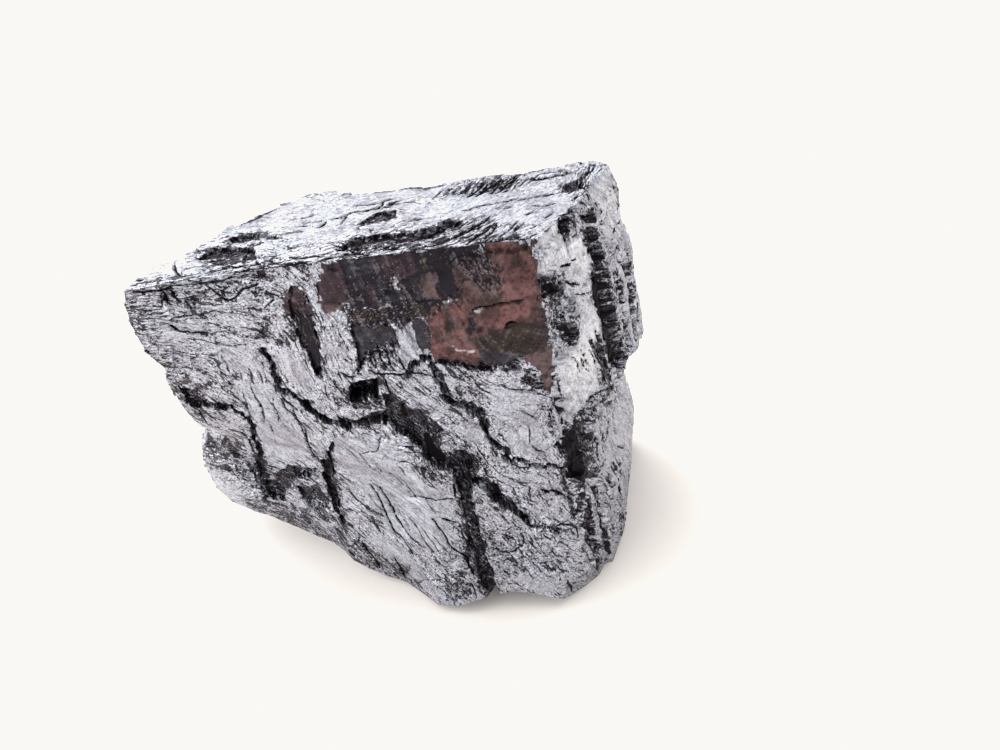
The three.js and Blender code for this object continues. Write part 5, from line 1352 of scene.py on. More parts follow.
# %% Measure how near a crack and the painted black shade are
# side and outline of floors and corners painted black as shade, where no light reaches:
# most of the square pit, the deepest corners of hollows and grooves, and the recesses of
# the right end
BLACK_SHADE_GROUND = [
    ("front", [(-32.4, 45.1), (-28.5, 45.6), (-28.8, 42.7), (-29.8, 42.6), (-29.7, 44.5), (-30.4, 44.4),
        (-30.5, 42.5), (-32.3, 42.4)]),
    ("front", [(-26.2, 39.9), (-25.4, 40), (-24.9, 38.4), (-26.1, 38)]),
    ("front", [(-23.3, 35.4), (-22.4, 35.6), (-21.9, 33.4), (-20.8, 31.8), (-20.3, 30.2), (-21.6, 29.9),
        (-22.1, 31), (-23.1, 31), (-23.2, 33.2)]),
    ("front", [(-18.4, 28.4), (-17, 28.8), (-16.6, 26.6), (-15.2, 25.2), (-16.6, 25.4), (-18.2, 25.2)]),
    ("front", [(-13.6, 24), (-12.8, 23.6), (-12, 21.6), (-13, 21), (-13.8, 22.6)]),
    ("front", [(-3.6, 36.4), (-2.7, 36.8), (-2.3, 33), (-1.7, 28), (-1, 21), (-1.7, 21.4), (-2.5, 27),
        (-2.9, 33)]),
    ("right", [(25.2, 62), (26.9, 60.6), (27.5, 56), (25.8, 51), (24.9, 46), (24.9, 41), (25.4, 36),
        (25, 32), (21.6, 32.2), (21, 38), (21.3, 46), (22.2, 51.4), (24.1, 54.8), (24.4, 59)]),
    ("right", [(21.8, 60.2), (24.2, 63.2), (22.4, 63.2)]),
    ("right", [(9.6, 31.2), (12.6, 33.2), (11.4, 29.8), (10.2, 25), (9.4, 21.4), (8, 21.2), (8.2, 25.4)]),
    ("right", [(15.6, 50.4), (17, 48.8), (16.6, 46.6), (15.4, 47.6)]),
    ("right", [(16.4, 57.4), (18.2, 57), (17.8, 55), (16.6, 55.2)]),
]


def flecked_share(side, points):
    """Share of flecks in the texture: the side's own, and a bell for each patch."""
    places = places_on(side, points)
    share = np.full(len(points), FLECKED[side])
    for patch_side, middle, halves, more in FLECKED_PATCHES:
        if patch_side == side:
            share += more * bell(places, middle, halves)
    return np.clip(share, 0, 1)


def crack_and_shade_distance(side, points, margin=1.0):
    """Signed distance in mm into the nearest crack, half its width less the distance, or
    into the nearest black place of painted shade."""
    places = places_on(side, points)
    best = np.full(len(points), -margin)
    for black_side, outline in BLACK_SHADE_GROUND:
        if black_side == side:
            best = np.maximum(best, inside_distance(places, outline))
    for (owner, width, _), path in zip(CRACKS, CRACK_PATHS):
        if owner == side:
            near = near_outline(places, path, margin)
            _, gap, share = nearest_on(places[near], path)
            best[near] = np.maximum(best[near], width / 2 * share - gap)
    return best


print("black places:", len(BLACK_SHADE_GROUND), "light islands:", len(ISLANDS))

# %% Add scarps, crumbs and grain
# for each side: mm between scarps, their height and the crumbs' height, in mm
TEXTURE = {
    "front": (2.3, 0.16, 0.26),
    "top": (1.9, 0.12, 0.22),
    "right": (1.5, 0.36, 0.34),
    "back": (3.1, 0.28, 0.34),
    "left": (2.2, 0.34, 0.36),
    "foot": (3.0, 0.0, 0.0),
}
FLOW_STRETCH = 0.22             # scarps change this much more slowly along the flow
BEND = (1.6, 0.55, 70)          # size, amount and seed of the noises that bend the scarps
SMALL_BEND = (0.6, 0.2, 71)
SHOWN_SIZE, SHOWN_SEED = 3.5, 72    # of the noise that says where the broad scarps show
NARROW = (2.7, 2.2, 0.4)        # how many more the narrow scarps are, their bend, their height
CRUMB_SIZES = (1.9, 0.95, 0.5)
CRUMB_SEED, CRUMB_GAIN = 80, 1.6
SPARSE, COMMON = 0.12, 0.55     # how crumbled the ground is everywhere, and in hollows
UNEVEN = (0.2, 5.0, 90)         # how unevenly it is crumbled, by a noise of this size and seed
GRAIN_HEIGHT, GRAIN_SIZE, GRAIN_SEED = 0.03, 0.45, 91
FACET_CALM = 0.9                # how much of the relief the mirror facets lose
CRUMB_TILT = np.array([[0.94, 0.21, -0.27], [-0.16, 0.97, 0.19], [0.30, -0.13, 0.94]])


def sawtooth(place, drop=0.18):
    """A slow rise from 0 to 1 over most of each unit, and a quick fall over the rest."""
    part = place - np.floor(place)
    return np.minimum(part / (1 - drop), (1 - part) / drop)


def fine_height(side, points):
    """scarps * where they show + crumbs * how crumbled + grain, less on the mirrors."""
    spacing, scarp, crumb = TEXTURE[side]
    flow = flow_at(side, points)
    bent = np.stack([flow[:, 0] * FLOW_STRETCH, flow[:, 1]], -1)
    wander = sum(smooth_noise(bent, size, seed) * amount for size, amount, seed in (BEND, SMALL_BEND))
    show = soft_ramp(smooth_noise(bent, SHOWN_SIZE, SHOWN_SEED), -0.5, 0.4)
    broad = sawtooth(flow[:, 1] / spacing + wander)
    more, narrow_bend, narrow_height = NARROW
    narrow = sawtooth(flow[:, 1] / spacing * more + wander * narrow_bend)
    scarps = scarp * ((broad - 0.5) * show + (narrow - 0.5) * narrow_height)
    turned = points @ CRUMB_TILT.T
    blocks = sum(cube_noise(turned, size, CRUMB_SEED + k) * size for k, size in enumerate(CRUMB_SIZES))
    hollow = hollow_distance(side, points) if side != "foot" else np.full(len(points), FAR_OUT)
    mirror, _ = mirror_distance(side, points)
    crumbled = np.maximum(patch_strength(side, points), COMMON * soft_ramp(hollow, -0.9, 0.1))
    uneven, uneven_size, uneven_seed = UNEVEN
    crumbled = crumbled + SPARSE + uneven * smooth_noise(points, uneven_size, uneven_seed)
    crumbs = crumb * np.clip(crumbled, 0, 1) * blocks / sum(CRUMB_SIZES) * CRUMB_GAIN
    grain = GRAIN_HEIGHT * smooth_noise(points, GRAIN_SIZE, GRAIN_SEED)
    calm = 1 - FACET_CALM * soft_ramp(mirror, -0.2, 0.3)
    return (scarps + crumbs + grain) * calm


def add_fine_relief(points):
    """Each side's fine height, averaged where sides share an edge, along the normals."""
    normal = point_normals(points, block_faces)
    total = np.zeros(len(points))
    shares = np.zeros(len(points))
    for side in SIDES:
        chosen = members(side)
        total[chosen] += fine_height(side, points[chosen])
        shares[chosen] += 1
    height = total / shares * soft_ramp(points[:, 2], 0, 1.5)
    moved = points + normal * height[:, None]
    moved[:, 2] = np.maximum(moved[:, 2], 0)
    return moved


block_points = add_fine_relief(block_points)
print("fine relief in", round(time.time() - STARTED, 1), "s")

# %% [markdown]
# ## From grid to mesh
# The even grid is fine enough for the smallest steps, but spends as many points on the
# smooth plates. Decimate's collapse mode takes points away where the surface is flat and
# leaves them at the steps, so the finished mesh keeps its sharp edges with a quarter of
# the triangles. The mirror facets are flat too, but their colours change from point to
# point, so their points are in no hurry to go: a vertex group keeps them until last. The
# result is kept as the mesh, and the finish's own numbers are worked out afterwards,
# from where the points ended up.

# %% Make the mesh
TRIANGLE_LIMIT = 190_000


def grid_mesh(name, points, faces, sides):
    """A mesh from arrays of points in mm and four-cornered faces, with each face's side."""
    mesh = bpy.data.meshes.new(name)
    mesh.vertices.add(len(points))
    mesh.vertices.foreach_set("co", ((points + FOOT_CORNER) * MM).ravel())
    mesh.loops.add(faces.size)
    mesh.loops.foreach_set("vertex_index", faces.ravel().astype(np.int32))
    mesh.polygons.add(len(faces))
    mesh.polygons.foreach_set("loop_start", np.arange(0, faces.size, 4, dtype=np.int32))
    mesh.update(calc_edges=True)
    mesh.attributes.new("side", "INT", "FACE").data.foreach_set("value", sides.astype(np.int32))
    mesh.validate()
    return mesh


def beside_facets(points, margin=0.4):
    """Which points lie in a mirror facet of the front, or less than margin mm beside it."""
    found = np.zeros(len(points), bool)
    front = members("front")
    found[front] = mirror_distance("front", points[front])[0] > -margin
    return found


def thinned(piece, limit, kept):
    """The piece's mesh with its flat places collapsed until it has at most limit triangles;
    the kept points are collapsed last."""
    triangles = 2 * len(piece.data.polygons)
    free = piece.vertex_groups.new(name="free to go")
    free.add(np.flatnonzero(~kept).tolist(), 1.0, "REPLACE")
    shrink = piece.modifiers.new("thin the flat places", "DECIMATE")
    shrink.ratio = limit / triangles
    shrink.vertex_group = free.name
    finished = bpy.data.meshes.new_from_object(
        piece.evaluated_get(bpy.context.evaluated_depsgraph_get()))
    piece.modifiers.clear()
    piece.vertex_groups.clear()
    piece.data = finished
    finished.name = piece.name
    return piece


block = bpy.data.objects.new("galena_cleaved_block", grid_mesh(
    "galena_cleaved_block", block_points, block_faces, block_side))
bpy.context.scene.collection.objects.link(block)
thinned(block, TRIANGLE_LIMIT, beside_facets(block_points))
print("mesh:", len(block.data.vertices), "points,", len(block.data.polygons), "faces,",
      "in", round(time.time() - STARTED, 1), "s")

# %% [markdown]
# ## Numbers for the finish
# A shader can't know where a crack or a facet ends, so the mesh tells it. Each point keeps
# its distance into the nearest crack or black place of painted shade, and into the nearest
# mirror facet. A distance changes evenly across a triangle, so a threshold on it gives an
# edge far finer than the mesh. How dark the ground is, with dust and with painted shade,
# how flecked it is, and each facet's painted reflection, tinted as tarnished galena, go in
# the same way. The two flow numbers go into the UV map in mm, side by side, for cracks
# that follow the surface.

# %% Write the finish's numbers into the mesh
SIDE_SPREAD = 200.0             # keeps the sides' patterns apart in the UV map


def mesh_values(items, name, width, kind=float):
    """One property of every item of a mesh, as an array."""
    values = np.empty(len(items) * width, kind)
    items.foreach_get(name, values)
    return values.reshape(-1, width) if width > 1 else values


def write_finish_numbers(mesh):
    """Point attributes crack (with the black places of painted shade), mirror,
    dust_and_shade (dust and painted shade), flecked and reflection_and_tarnish (each
    facet's painted reflection), and the flow as a UV map.
    """
    points = mesh_values(mesh.vertices, "co", 3) / MM - FOOT_CORNER
    corner_point = mesh_values(mesh.loops, "vertex_index", 1, np.int32)
    face_side = mesh_values(mesh.attributes["side"].data, "value", 1, np.int32)
    face_size = mesh_values(mesh.polygons, "loop_total", 1, np.int32)
    corner_side = np.repeat(face_side, face_size)
    crack = np.full(len(points), FAR_OUT)
    mirror = np.full(len(points), FAR_OUT)
    dust_and_shade = np.full(len(points), FAR_OUT)
    flecked = np.zeros(len(points))
    reflection_and_tarnish = np.zeros((len(points), 4))
    flow = np.zeros((len(corner_point), 2))
    for side, number in SIDE_NUMBER.items():
        corners = np.flatnonzero(corner_side == number)
        flow[corners] = flow_at(side, points[corner_point[corners]]) + number * SIDE_SPREAD
        own = np.unique(corner_point[corners])
        flecked[own] = flecked_share(side, points[own])
        if side == "foot":
            continue
        # crack also holds the black places of painted shade
        crack[own] = np.maximum(crack[own], crack_and_shade_distance(side, points[own]))
        distance, colour = mirror_distance(side, points[own])
        # dust_and_shade: how dark the ground is, with dust and crumbs and with painted shade
        dust_and_shade[own] = np.maximum(dust_and_shade[own], dust_and_shade_share(side, points[own], distance))
        # each facet's colour: its painted reflection, and on the small bright ones a painted highlight
        nearer = distance > mirror[own]
        reflection_and_tarnish[own] = np.where(nearer[:, None], colour, reflection_and_tarnish[own])
        mirror[own] = np.maximum(mirror[own], distance)
    dust_and_shade[dust_and_shade == FAR_OUT] = 0
    for name, values in (("crack", crack), ("mirror", mirror), ("dust_and_shade", dust_and_shade),
                         ("flecked", flecked)):
        mesh.attributes.new(name, "FLOAT", "POINT").data.foreach_set("value", values)
        print(name, "from", round(values.min(), 2), "to", round(values.max(), 2))
    mesh.attributes.new("reflection_and_tarnish", "FLOAT_COLOR", "POINT").data.foreach_set("color", reflection_and_tarnish.ravel())
    mesh.uv_layers.new(name="flow").data.foreach_set("uv", flow.ravel())


write_finish_numbers(block.data)

# %% [markdown]
# ## The lifted toe
# The block doesn't lie flat up to its front edge: the foot's front edge stands off the
# table, and a dark gap shows under it. Points near that edge move up and a little
# forwards. This comes after the finish's numbers, which are measured on the flat foot.

# %% Lift the front edge of the foot
# x and lift of places along the edge, in mm from the foot corner
TOE_LIFT = [(-29, 0), (-25.4, 1.4), (-21.9, 2.2), (-15.6, 4), (-11.8, 4.5), (-8.2, 3.9), (-4, 2.2),
            (-2.4, 1.3), (0.3, 0)]
TOE_LEAN = -0.52                # the lifted edge moves this share of the lift forwards
TOE_HEIGHT = 14.0               # height over which the lift runs out
TOE_DEPTH = (3.0, 14.0)         # the lift fades out between these depths under the foot
TOE_SLOPE = 0.3                 # how the front leans back, in y for each z


def lift_toe(mesh):
    """y + lean * lift and z + lift, where lift = the edge's lift at x * a fade with
    height * a fade with depth under the foot. Returns the greatest lift."""
    points = mesh_values(mesh.vertices, "co", 3) / MM - FOOT_CORNER
    x, y, z = points.T
    lift = np.interp(x, *zip(*TOE_LIFT), left=0, right=0)
    lift *= 1 - soft_ramp(z, 0, TOE_HEIGHT)
    lift *= 1 - soft_ramp(y - TOE_SLOPE * z, *TOE_DEPTH)
    points[:, 1] += TOE_LEAN * lift
    points[:, 2] += lift
    mesh.vertices.foreach_set("co", ((points + FOOT_CORNER) * MM).ravel())
    mesh.update()
    return lift.max()


toe_height = lift_toe(block.data)
print("toe lifted by", round(toe_height, 2), "mm")

# %% [markdown]
# ## The finish
# Galena is a bright lead-grey metal to the eye. One metallic shader carries it, and
# masks change its colour, roughness and bump: black cracks along the flow, bright and
# dark flecks, the bright ones painted glints, dull streaked floors in the hollows, and
# painted light and shade: shade on dark ground, in the hollows and in black corners,
# highlights on polished plates, and the mirror facets' reflections of the dark room,
# tinted as tarnished galena.
# Painting these by hand would fix them in one picture. Built from noise and distances
# they stay sharp at any size. Crack lines repeat at four spacings, so they get a function
# of their own, and the shader reads as a list of what is on the stone.

# %% Shader building blocks
class Shader:
    """Adds nodes to one material and links what it is given."""

    def __init__(self, name):
        self.material = bpy.data.materials.new(name)
        self.material.use_nodes = True
        self.tree = self.material.node_tree
        self.tree.nodes.clear()

    def node(self, kind, inputs=(), output=0, **settings):
        """A node with its settings, its sockets set or linked, and the output wanted."""
        made = self.tree.nodes.new(kind)
        for key, value in settings.items():
            setattr(made, key, value)
        for key, value in dict(inputs).items():
            if isinstance(value, bpy.types.NodeSocket):
                self.tree.links.new(value, made.inputs[key])
            else:
                made.inputs[key].default_value = value
        return made.outputs[output]

    def finish(self, shader):
        """Ends the material with this shader."""
        output = self.tree.nodes.new("ShaderNodeOutputMaterial")
        self.tree.links.new(shader, output.inputs["Surface"])

    def number(self, name):
        """One of the mesh's own numbers."""
        return self.node("ShaderNodeAttribute", attribute_name=name, output="Fac")

    def math(self, operation, first, second=0.0, third=0.0):
        """One sum, product or comparison of numbers."""
        return self.node("ShaderNodeMath", {0: first, 1: second, 2: third}, operation=operation)

    def scaled(self, vector, scale, shift=(0.0, 0.0, 0.0)):
        """A vector times scale plus shift."""
        return self.node("ShaderNodeMapping", {"Vector": vector, "Location": shift, "Scale": scale})

    def noise(self, vector, scale=1.0, detail=2.0, rough=0.5, bend=0.0):
        """Cloudy noise, 0 to 1 about 0.5."""
        return self.node("ShaderNodeTexNoise", {"Vector": vector, "Scale": scale, "Detail": detail,
                                                "Roughness": rough, "Distortion": bend})

    def fade(self, value, low, high, start=0.0, end=1.0):
        """start below low, end above high, and an S-curve between."""
        return self.node("ShaderNodeMapRange", {"Value": value, "From Min": low, "From Max": high,
                                                "To Min": start, "To Max": end},
                         interpolation_type="SMOOTHSTEP")

    def mix(self, share, first, second):
        """first where share is 0, second where it is 1."""
        return self.node("ShaderNodeMix", {0: share, 6: first, 7: second}, output=2, data_type="RGBA")


# %% Colours of the metal, of the dirt, and of painted light and shade
def rgb(red, green, blue):
    """A colour that is fully opaque."""
    return (red, green, blue, 1.0)


BRIGHT_LEAD = rgb(0.563, 0.577, 0.658)
# painted highlight: the polished plates and the glints
POLISHED_HIGHLIGHT = rgb(0.880, 0.890, 0.930)
DULL_LEAD = rgb(0.234, 0.234, 0.273)
BLUE_SHEEN = rgb(0.436, 0.477, 0.549)
VIOLET_SHEEN = rgb(0.318, 0.286, 0.341)
# black of cracks and specks, and of painted shade in the deepest corners
CRACK_AND_SHADE_BLACK = rgb(0.010, 0.008, 0.011)
# dust on dark ground, and painted shade
DUST_AND_SHADE_GREY = rgb(0.050, 0.046, 0.060)
# painted shade in the hollows; also the grey grain and dark bars of the facets
HOLLOW_SHADE_GREY = rgb(0.022, 0.019, 0.027)
OLIVE_FILM = rgb(0.027, 0.022, 0.018)
PALE_STREAK = rgb(0.152, 0.136, 0.149)
print("colours: bright", BRIGHT_LEAD[:3], "dull", DULL_LEAD[:3])


# %% Patterns on the stone
def patterns(s):
    """The patterns that everything else is mixed from, by name.

    Clouds, patches, grain, flecks and glints are noise in the block's own mm. Along and
    across are the flow numbers, shaken a little, and sheets, streaks, threads, bars and
    rungs are noise drawn out in them. Fine and speckle are strokes along the flow on
    some ground and flecks on the rest."""
    p = SimpleNamespace(dust_and_shade=s.number("dust_and_shade"), flecked=s.number("flecked"))
    place = s.scaled(s.node("ShaderNodeTexCoord", output="Object"), (1 / MM,) * 3)
    elsewhere = s.scaled(place, (1.0, 1.0, 1.0), (31.0, 17.0, 5.0))
    p.clouds = s.noise(place, scale=0.16, detail=4.0, rough=0.6)
    p.patches = s.noise(place, scale=0.42, detail=4.0, rough=0.62, bend=0.4)
    p.grain = s.noise(place, scale=1.7, detail=5.0, rough=0.72)
    p.flecks = s.noise(place, scale=2.9, detail=2.0, rough=0.65)
    p.glints = s.noise(elsewhere, scale=3.2, detail=2.0, rough=0.65)
    p.ragged = s.math("SUBTRACT", s.noise(place, scale=2.0, detail=4.0, rough=0.65), 0.5)

    flow = s.node("ShaderNodeUVMap", uv_map="flow")
    flow_parts = s.node("ShaderNodeSeparateXYZ", {"Vector": flow}).node
    shake = s.node("ShaderNodeTexNoise", {"Vector": place, "Scale": 1.3, "Detail": 4.0, "Roughness": 0.6},
                   output=1)
    shake_parts = s.node("ShaderNodeSeparateXYZ", {"Vector": shake}).node
    p.along = s.math("MULTIPLY_ADD", shake_parts.outputs[0], 1.2, flow_parts.outputs[0])
    p.across = s.math("MULTIPLY_ADD", shake_parts.outputs[1], 0.7, flow_parts.outputs[1])
    strands = s.node("ShaderNodeCombineXYZ", {"X": p.along, "Y": p.across})
    p.sheets = s.noise(s.scaled(strands, (0.16, 0.8, 1.0)), detail=5.0, rough=0.6)
    p.streaks = s.noise(s.scaled(strands, (0.65, 3.0, 1.0)), detail=3.0, rough=0.65)
    p.threads = s.noise(s.scaled(strands, (1.3, 5.0, 1.0), (9.0, 4.0, 0.0)), detail=2.0, rough=0.6)
    p.bars = s.noise(s.scaled(strands, (0.10, 1.2, 1.0), (0.0, 3.0, 0.0)), detail=4.0, rough=0.65)
    p.rungs = s.noise(s.scaled(strands, (2.0, 0.2, 1.0), (5.0, 0.0, 0.0)), detail=4.0, rough=0.65)

    p.clean = s.fade(s.math("MULTIPLY_ADD", p.ragged, 0.3, p.dust_and_shade), -0.08, -0.38)
    p.fine = s.node("ShaderNodeMix", {0: p.flecked, 2: p.threads, 3: p.glints}, data_type="FLOAT")
    speckle = s.node("ShaderNodeMix", {0: p.flecked, 2: p.streaks, 3: p.flecks}, data_type="FLOAT")
    p.speckle = s.math("MULTIPLY_ADD", speckle, 0.8, s.math("MULTIPLY", p.grain, 0.20))
    return p


# %% Crack lines
# whether they run across the flow, their length, spacing and half width in mm, and the
# share of the ground that has them
CRACK_LINES = [
    (False, 9.0, 1.7, 0.14, 0.50),
    (False, 4.0, 0.75, 0.13, 0.48),
    (True, 4.0, 1.6, 0.12, 0.42),
    (False, 2.4, 0.45, 0.075, 0.44),
]


def crack_lines(s, along, across, length, gap, width, share, seed):
    """Thin lines along the flow, gap mm apart: where across / gap + a wandering noise
    passes a whole number, kept where a slower noise is over 1 - share."""
    place = s.node("ShaderNodeCombineXYZ", {"X": along, "Y": across, "Z": seed})
    wander = s.noise(s.scaled(place, (1 / length, 0.5 / gap, 1.0)), scale=1.0, detail=3.0, rough=0.45)
    level = s.math("MULTIPLY_ADD", wander, 5.0, s.math("MULTIPLY", across, 1 / gap))
    off = s.math("PINGPONG", level, 0.5)
    part = s.noise(s.scaled(place, (1.6 / length, 0.9 / gap, 1.0), (3.0, 7.0, seed)), detail=2.0)
    thick = s.fade(part, 1 - share, 1 - share + 0.06, 0.0, width / gap)
    return s.math("LESS_THAN", off, thick)


def crack_masks(s, p):
    """Where the mesh's open cracks and its black places of painted shade are, and the same
    with all the thin lines added: those beside the open cracks, at every 0.44 mm from them,
    and those of CRACK_LINES."""
    crack = s.math("MULTIPLY_ADD", p.ragged, 0.5, s.number("crack"))
    open_cracks_and_black_shade = s.fade(crack, 0.03, 0.07)
    beside = s.math("LESS_THAN", s.math("PINGPONG", crack, 0.22), 0.03)
    beside = s.math("MULTIPLY", beside, s.fade(crack, -0.9, -0.3))
    thin = s.math("MULTIPLY", beside, s.fade(p.patches, 0.50, 0.56))
    for seed, (crossing, *measures) in enumerate(CRACK_LINES, 1):
        ways = (p.across, p.along) if crossing else (p.along, p.across)
        thin = s.math("MAXIMUM", thin, crack_lines(s, *ways, *measures, float(seed)))
    thin = s.math("MULTIPLY", thin, s.fade(p.clean, 0.2, 0.8, 1.0, 0.35))
    return open_cracks_and_black_shade, s.math("MAXIMUM", open_cracks_and_black_shade, s.math("MULTIPLY", thin, 0.9))


# %% Bare metal with painted glints, and dark ground of dust and painted shade
def bare_metal(s, p):
    """From dull to bright lead by patches, sheets and the fine pattern, with a blue or a
    violet sheen by clouds, a painted highlight on the cleanest plates, dark flecks, and
    bright flecks that are painted glints."""
    tone = s.math("MULTIPLY_ADD", p.patches, 0.25, s.math("MULTIPLY", p.sheets, 0.28))
    texture = s.math("MULTIPLY", s.math("SUBTRACT", p.fine, 0.5), s.fade(p.clean, 0.0, 1.0, 1.3, 0.6))
    tone = s.math("ADD", tone, s.math("MULTIPLY_ADD", p.clean, 0.01, texture))
    metal = s.mix(s.fade(tone, 0.14, 0.38), DULL_LEAD, BRIGHT_LEAD)
    metal = s.mix(s.fade(p.clouds, 0.52, 0.70, 0.0, 0.5), metal, BLUE_SHEEN)
    metal = s.mix(s.fade(p.clouds, 0.44, 0.30, 0.0, 0.5), metal, VIOLET_SHEEN)
    # painted highlight on the cleanest plates
    metal = s.mix(s.fade(p.dust_and_shade, -0.45, -1.0, 0.0, 0.75), metal, POLISHED_HIGHLIGHT)
    # painted glints: bright specks in the highlight colour
    painted_glints = s.math("MULTIPLY", s.fade(p.glints, 0.615, 0.645), s.fade(p.clean, 0.2, 1.0, 0.40, 0.15))
    pepper = s.math("MULTIPLY", s.fade(p.flecks, 0.400, 0.375), s.fade(p.clean, 0.2, 1.0, 0.9, 0.5))
    return s.mix(pepper, s.mix(painted_glints, metal, POLISHED_HIGHLIGHT), CRACK_AND_SHADE_BLACK)


def dark_dust_and_shade(s, p):
    """Where the ground is painted dark, and its colour there: dust and crumbs, and painted
    shade that is greyer in the hollows, black between the sheets, with pale streaks and
    bright specks of bare lead."""
    dust_and_shade = s.math("MULTIPLY_ADD", s.fade(p.patches, 0.62, 0.36), 0.40, p.dust_and_shade)
    limit = s.math("MULTIPLY_ADD", dust_and_shade, 0.19, 0.375)
    dust_and_shade_mask = s.fade(s.math("SUBTRACT", limit, p.speckle), -0.012, 0.012)
    dark = s.mix(s.fade(dust_and_shade, 0.4, 0.95), DUST_AND_SHADE_GREY, HOLLOW_SHADE_GREY)
    dark = s.mix(s.fade(p.sheets, 0.52, 0.44, 0.0, 0.8), dark, CRACK_AND_SHADE_BLACK)
    dark = s.mix(s.fade(p.threads, 0.53, 0.60, 0.0, 0.85), dark, PALE_STREAK)
    dark = s.mix(s.fade(p.streaks, 0.58, 0.64, 0.0, 0.8), dark, DULL_LEAD)
    dark = s.mix(s.fade(p.glints, 0.58, 0.66, 0.0, 0.8), dark, DULL_LEAD)
    return dust_and_shade_mask, dark


# %% Mirror facets
def facet_colour(s, p, open_cracks_and_black_shade):
    """The facet's painted reflection, tinted as tarnished galena, and on the small bright
    facets a painted highlight, with an olive film and grey grain. The more broken it is, the
    more bars and rungs, pale flecks and black gaps show."""
    shade = s.math("MULTIPLY_ADD", p.bars, 0.6, s.math("MULTIPLY", p.rungs, 0.4))
    # the facet's painted reflection of the dark room, tinted as tarnished galena
    facet = s.node("ShaderNodeAttribute", attribute_name="reflection_and_tarnish", output="Color")
    facet = s.mix(s.fade(p.patches, 0.52, 0.36, 0.0, 0.7), facet, OLIVE_FILM)
    facet = s.mix(s.fade(p.grain, 0.52, 0.40, 0.0, 0.5), facet, HOLLOW_SHADE_GREY)
    barred = s.fade(p.dust_and_shade, 0.0, 0.8, 0.3, 0.9)
    facet = s.mix(s.fade(shade, 0.485, 0.455, 0.0, barred), facet, HOLLOW_SHADE_GREY)
    streaked = s.fade(p.dust_and_shade, 0.0, 0.8, 0.2, 0.7)
    facet = s.mix(s.fade(shade, 0.535, 0.58, 0.0, streaked), facet, PALE_STREAK)
    pale = s.fade(s.math("MULTIPLY_ADD", p.dust_and_shade, 0.10, p.fine), 0.67, 0.70, 0.0, 0.85)
    facet = s.mix(pale, facet, DULL_LEAD)
    gloom = s.fade(s.math("MULTIPLY_ADD", p.dust_and_shade, -0.12, p.speckle), 0.385, 0.365, 0.0, 0.85)
    facet = s.mix(gloom, facet, CRACK_AND_SHADE_BLACK)
    return s.mix(open_cracks_and_black_shade, facet, CRACK_AND_SHADE_BLACK)


# %% The galena finish
BUMP_HEIGHT = 0.6 * MM


def galena_finish():
    """Metal whose colour, roughness and bump come from the mesh's own numbers and noise.
    Every fade turns a number into a mask between its two thresholds. Covered ground, of
    dust and of painted shade, is rougher than bare lead, and the facets are smoother and
    almost without bumps."""
    s = Shader("galena")
    p = patterns(s)
    open_cracks_and_black_shade, cracks = crack_masks(s, p)
    dust_and_shade_mask, dark = dark_dust_and_shade(s, p)
    # dark ground: dust and crumbs, and painted shade
    ground = s.mix(dust_and_shade_mask, bare_metal(s, p), dark)
    # cracks, with the black places of painted shade
    ground = s.mix(cracks, ground, CRACK_AND_SHADE_BLACK)
    mirror = s.fade(s.math("MULTIPLY_ADD", p.ragged, 0.8, s.number("mirror")), -0.10, 0.10)
    colour = s.mix(mirror, ground, facet_colour(s, p, open_cracks_and_black_shade))

    rough = s.fade(p.grain, 0.3, 0.7, 0.24, 0.44)
    rough = s.math("MULTIPLY_ADD", dust_and_shade_mask, 0.18, rough)
    rough = s.math("MULTIPLY_ADD", mirror, -0.14, rough)

    calm = s.math("MULTIPLY_ADD", mirror, -0.85, 1.0)
    relief = s.math("MULTIPLY_ADD", p.sheets, 0.42, s.math("MULTIPLY", p.grain, 0.28))
    relief = s.math("MULTIPLY_ADD", cracks, -0.25, relief)
    relief = s.math("MULTIPLY", relief, calm)
    bump = s.node("ShaderNodeBump", {"Strength": 1.0, "Distance": BUMP_HEIGHT, "Height": relief})
    shader = s.node("ShaderNodeBsdfPrincipled", {
        "Base Color": colour, "Metallic": 1.0, "Roughness": rough, "Normal": bump})
    s.finish(shader)
    return s.material


block.data.materials.clear()
block.data.materials.append(galena_finish())
print("finish nodes:", len(block.data.materials[0].node_tree.nodes))

# %% [markdown]
# ## Sharp steps
# Each face is shaded smooth with its neighbours unless the surface turns sharply there,
# so cleavage steps stay crisp and the gentle lumps don't look cut.

# %% Mark the sharp edges
SHARP_TURN = math.radians(28)
block.data.shade_smooth()
block.data.set_sharp_from_angle(angle=SHARP_TURN)

# %% [markdown]
# ## Floor and light
# A plain pale floor and soft light from above and from a window on the left. A metal
# shows its surroundings, so the sky isn't even: it is brightest on the window's side,
# and darker behind the block and on the side of the eye, as a room with one window is.

# %% Add the floor and the light
FLOOR_COLOUR = rgb(0.90, 0.855, 0.82)
FLOOR_HALF = 1.5
SKY_COLOUR = rgb(0.97, 0.98, 1.0)
SKY_STRENGTH = (2.66, 2.50)     # at the horizon and overhead
SHADE_TOWARDS = (-0.05, -0.68, 0.73)
SHADE_EDGE = (0.42, 0.92)       # cosines between which the sky dims
SHADE_LEFT = 0.12
BACK_TOWARDS = (0.10, 0.85, 0.50)
BACK_EDGE = (0.55, 0.97)
BACK_LEFT = 0.62
WINDOW_TOWARDS = (-0.95, 0.05, 0.20)
WINDOW_GAIN = (0.40, 1.90)      # what the sky is multiplied by, away from the window and towards it
PAPER_WHITE = (0.955, 0.940, 0.905)


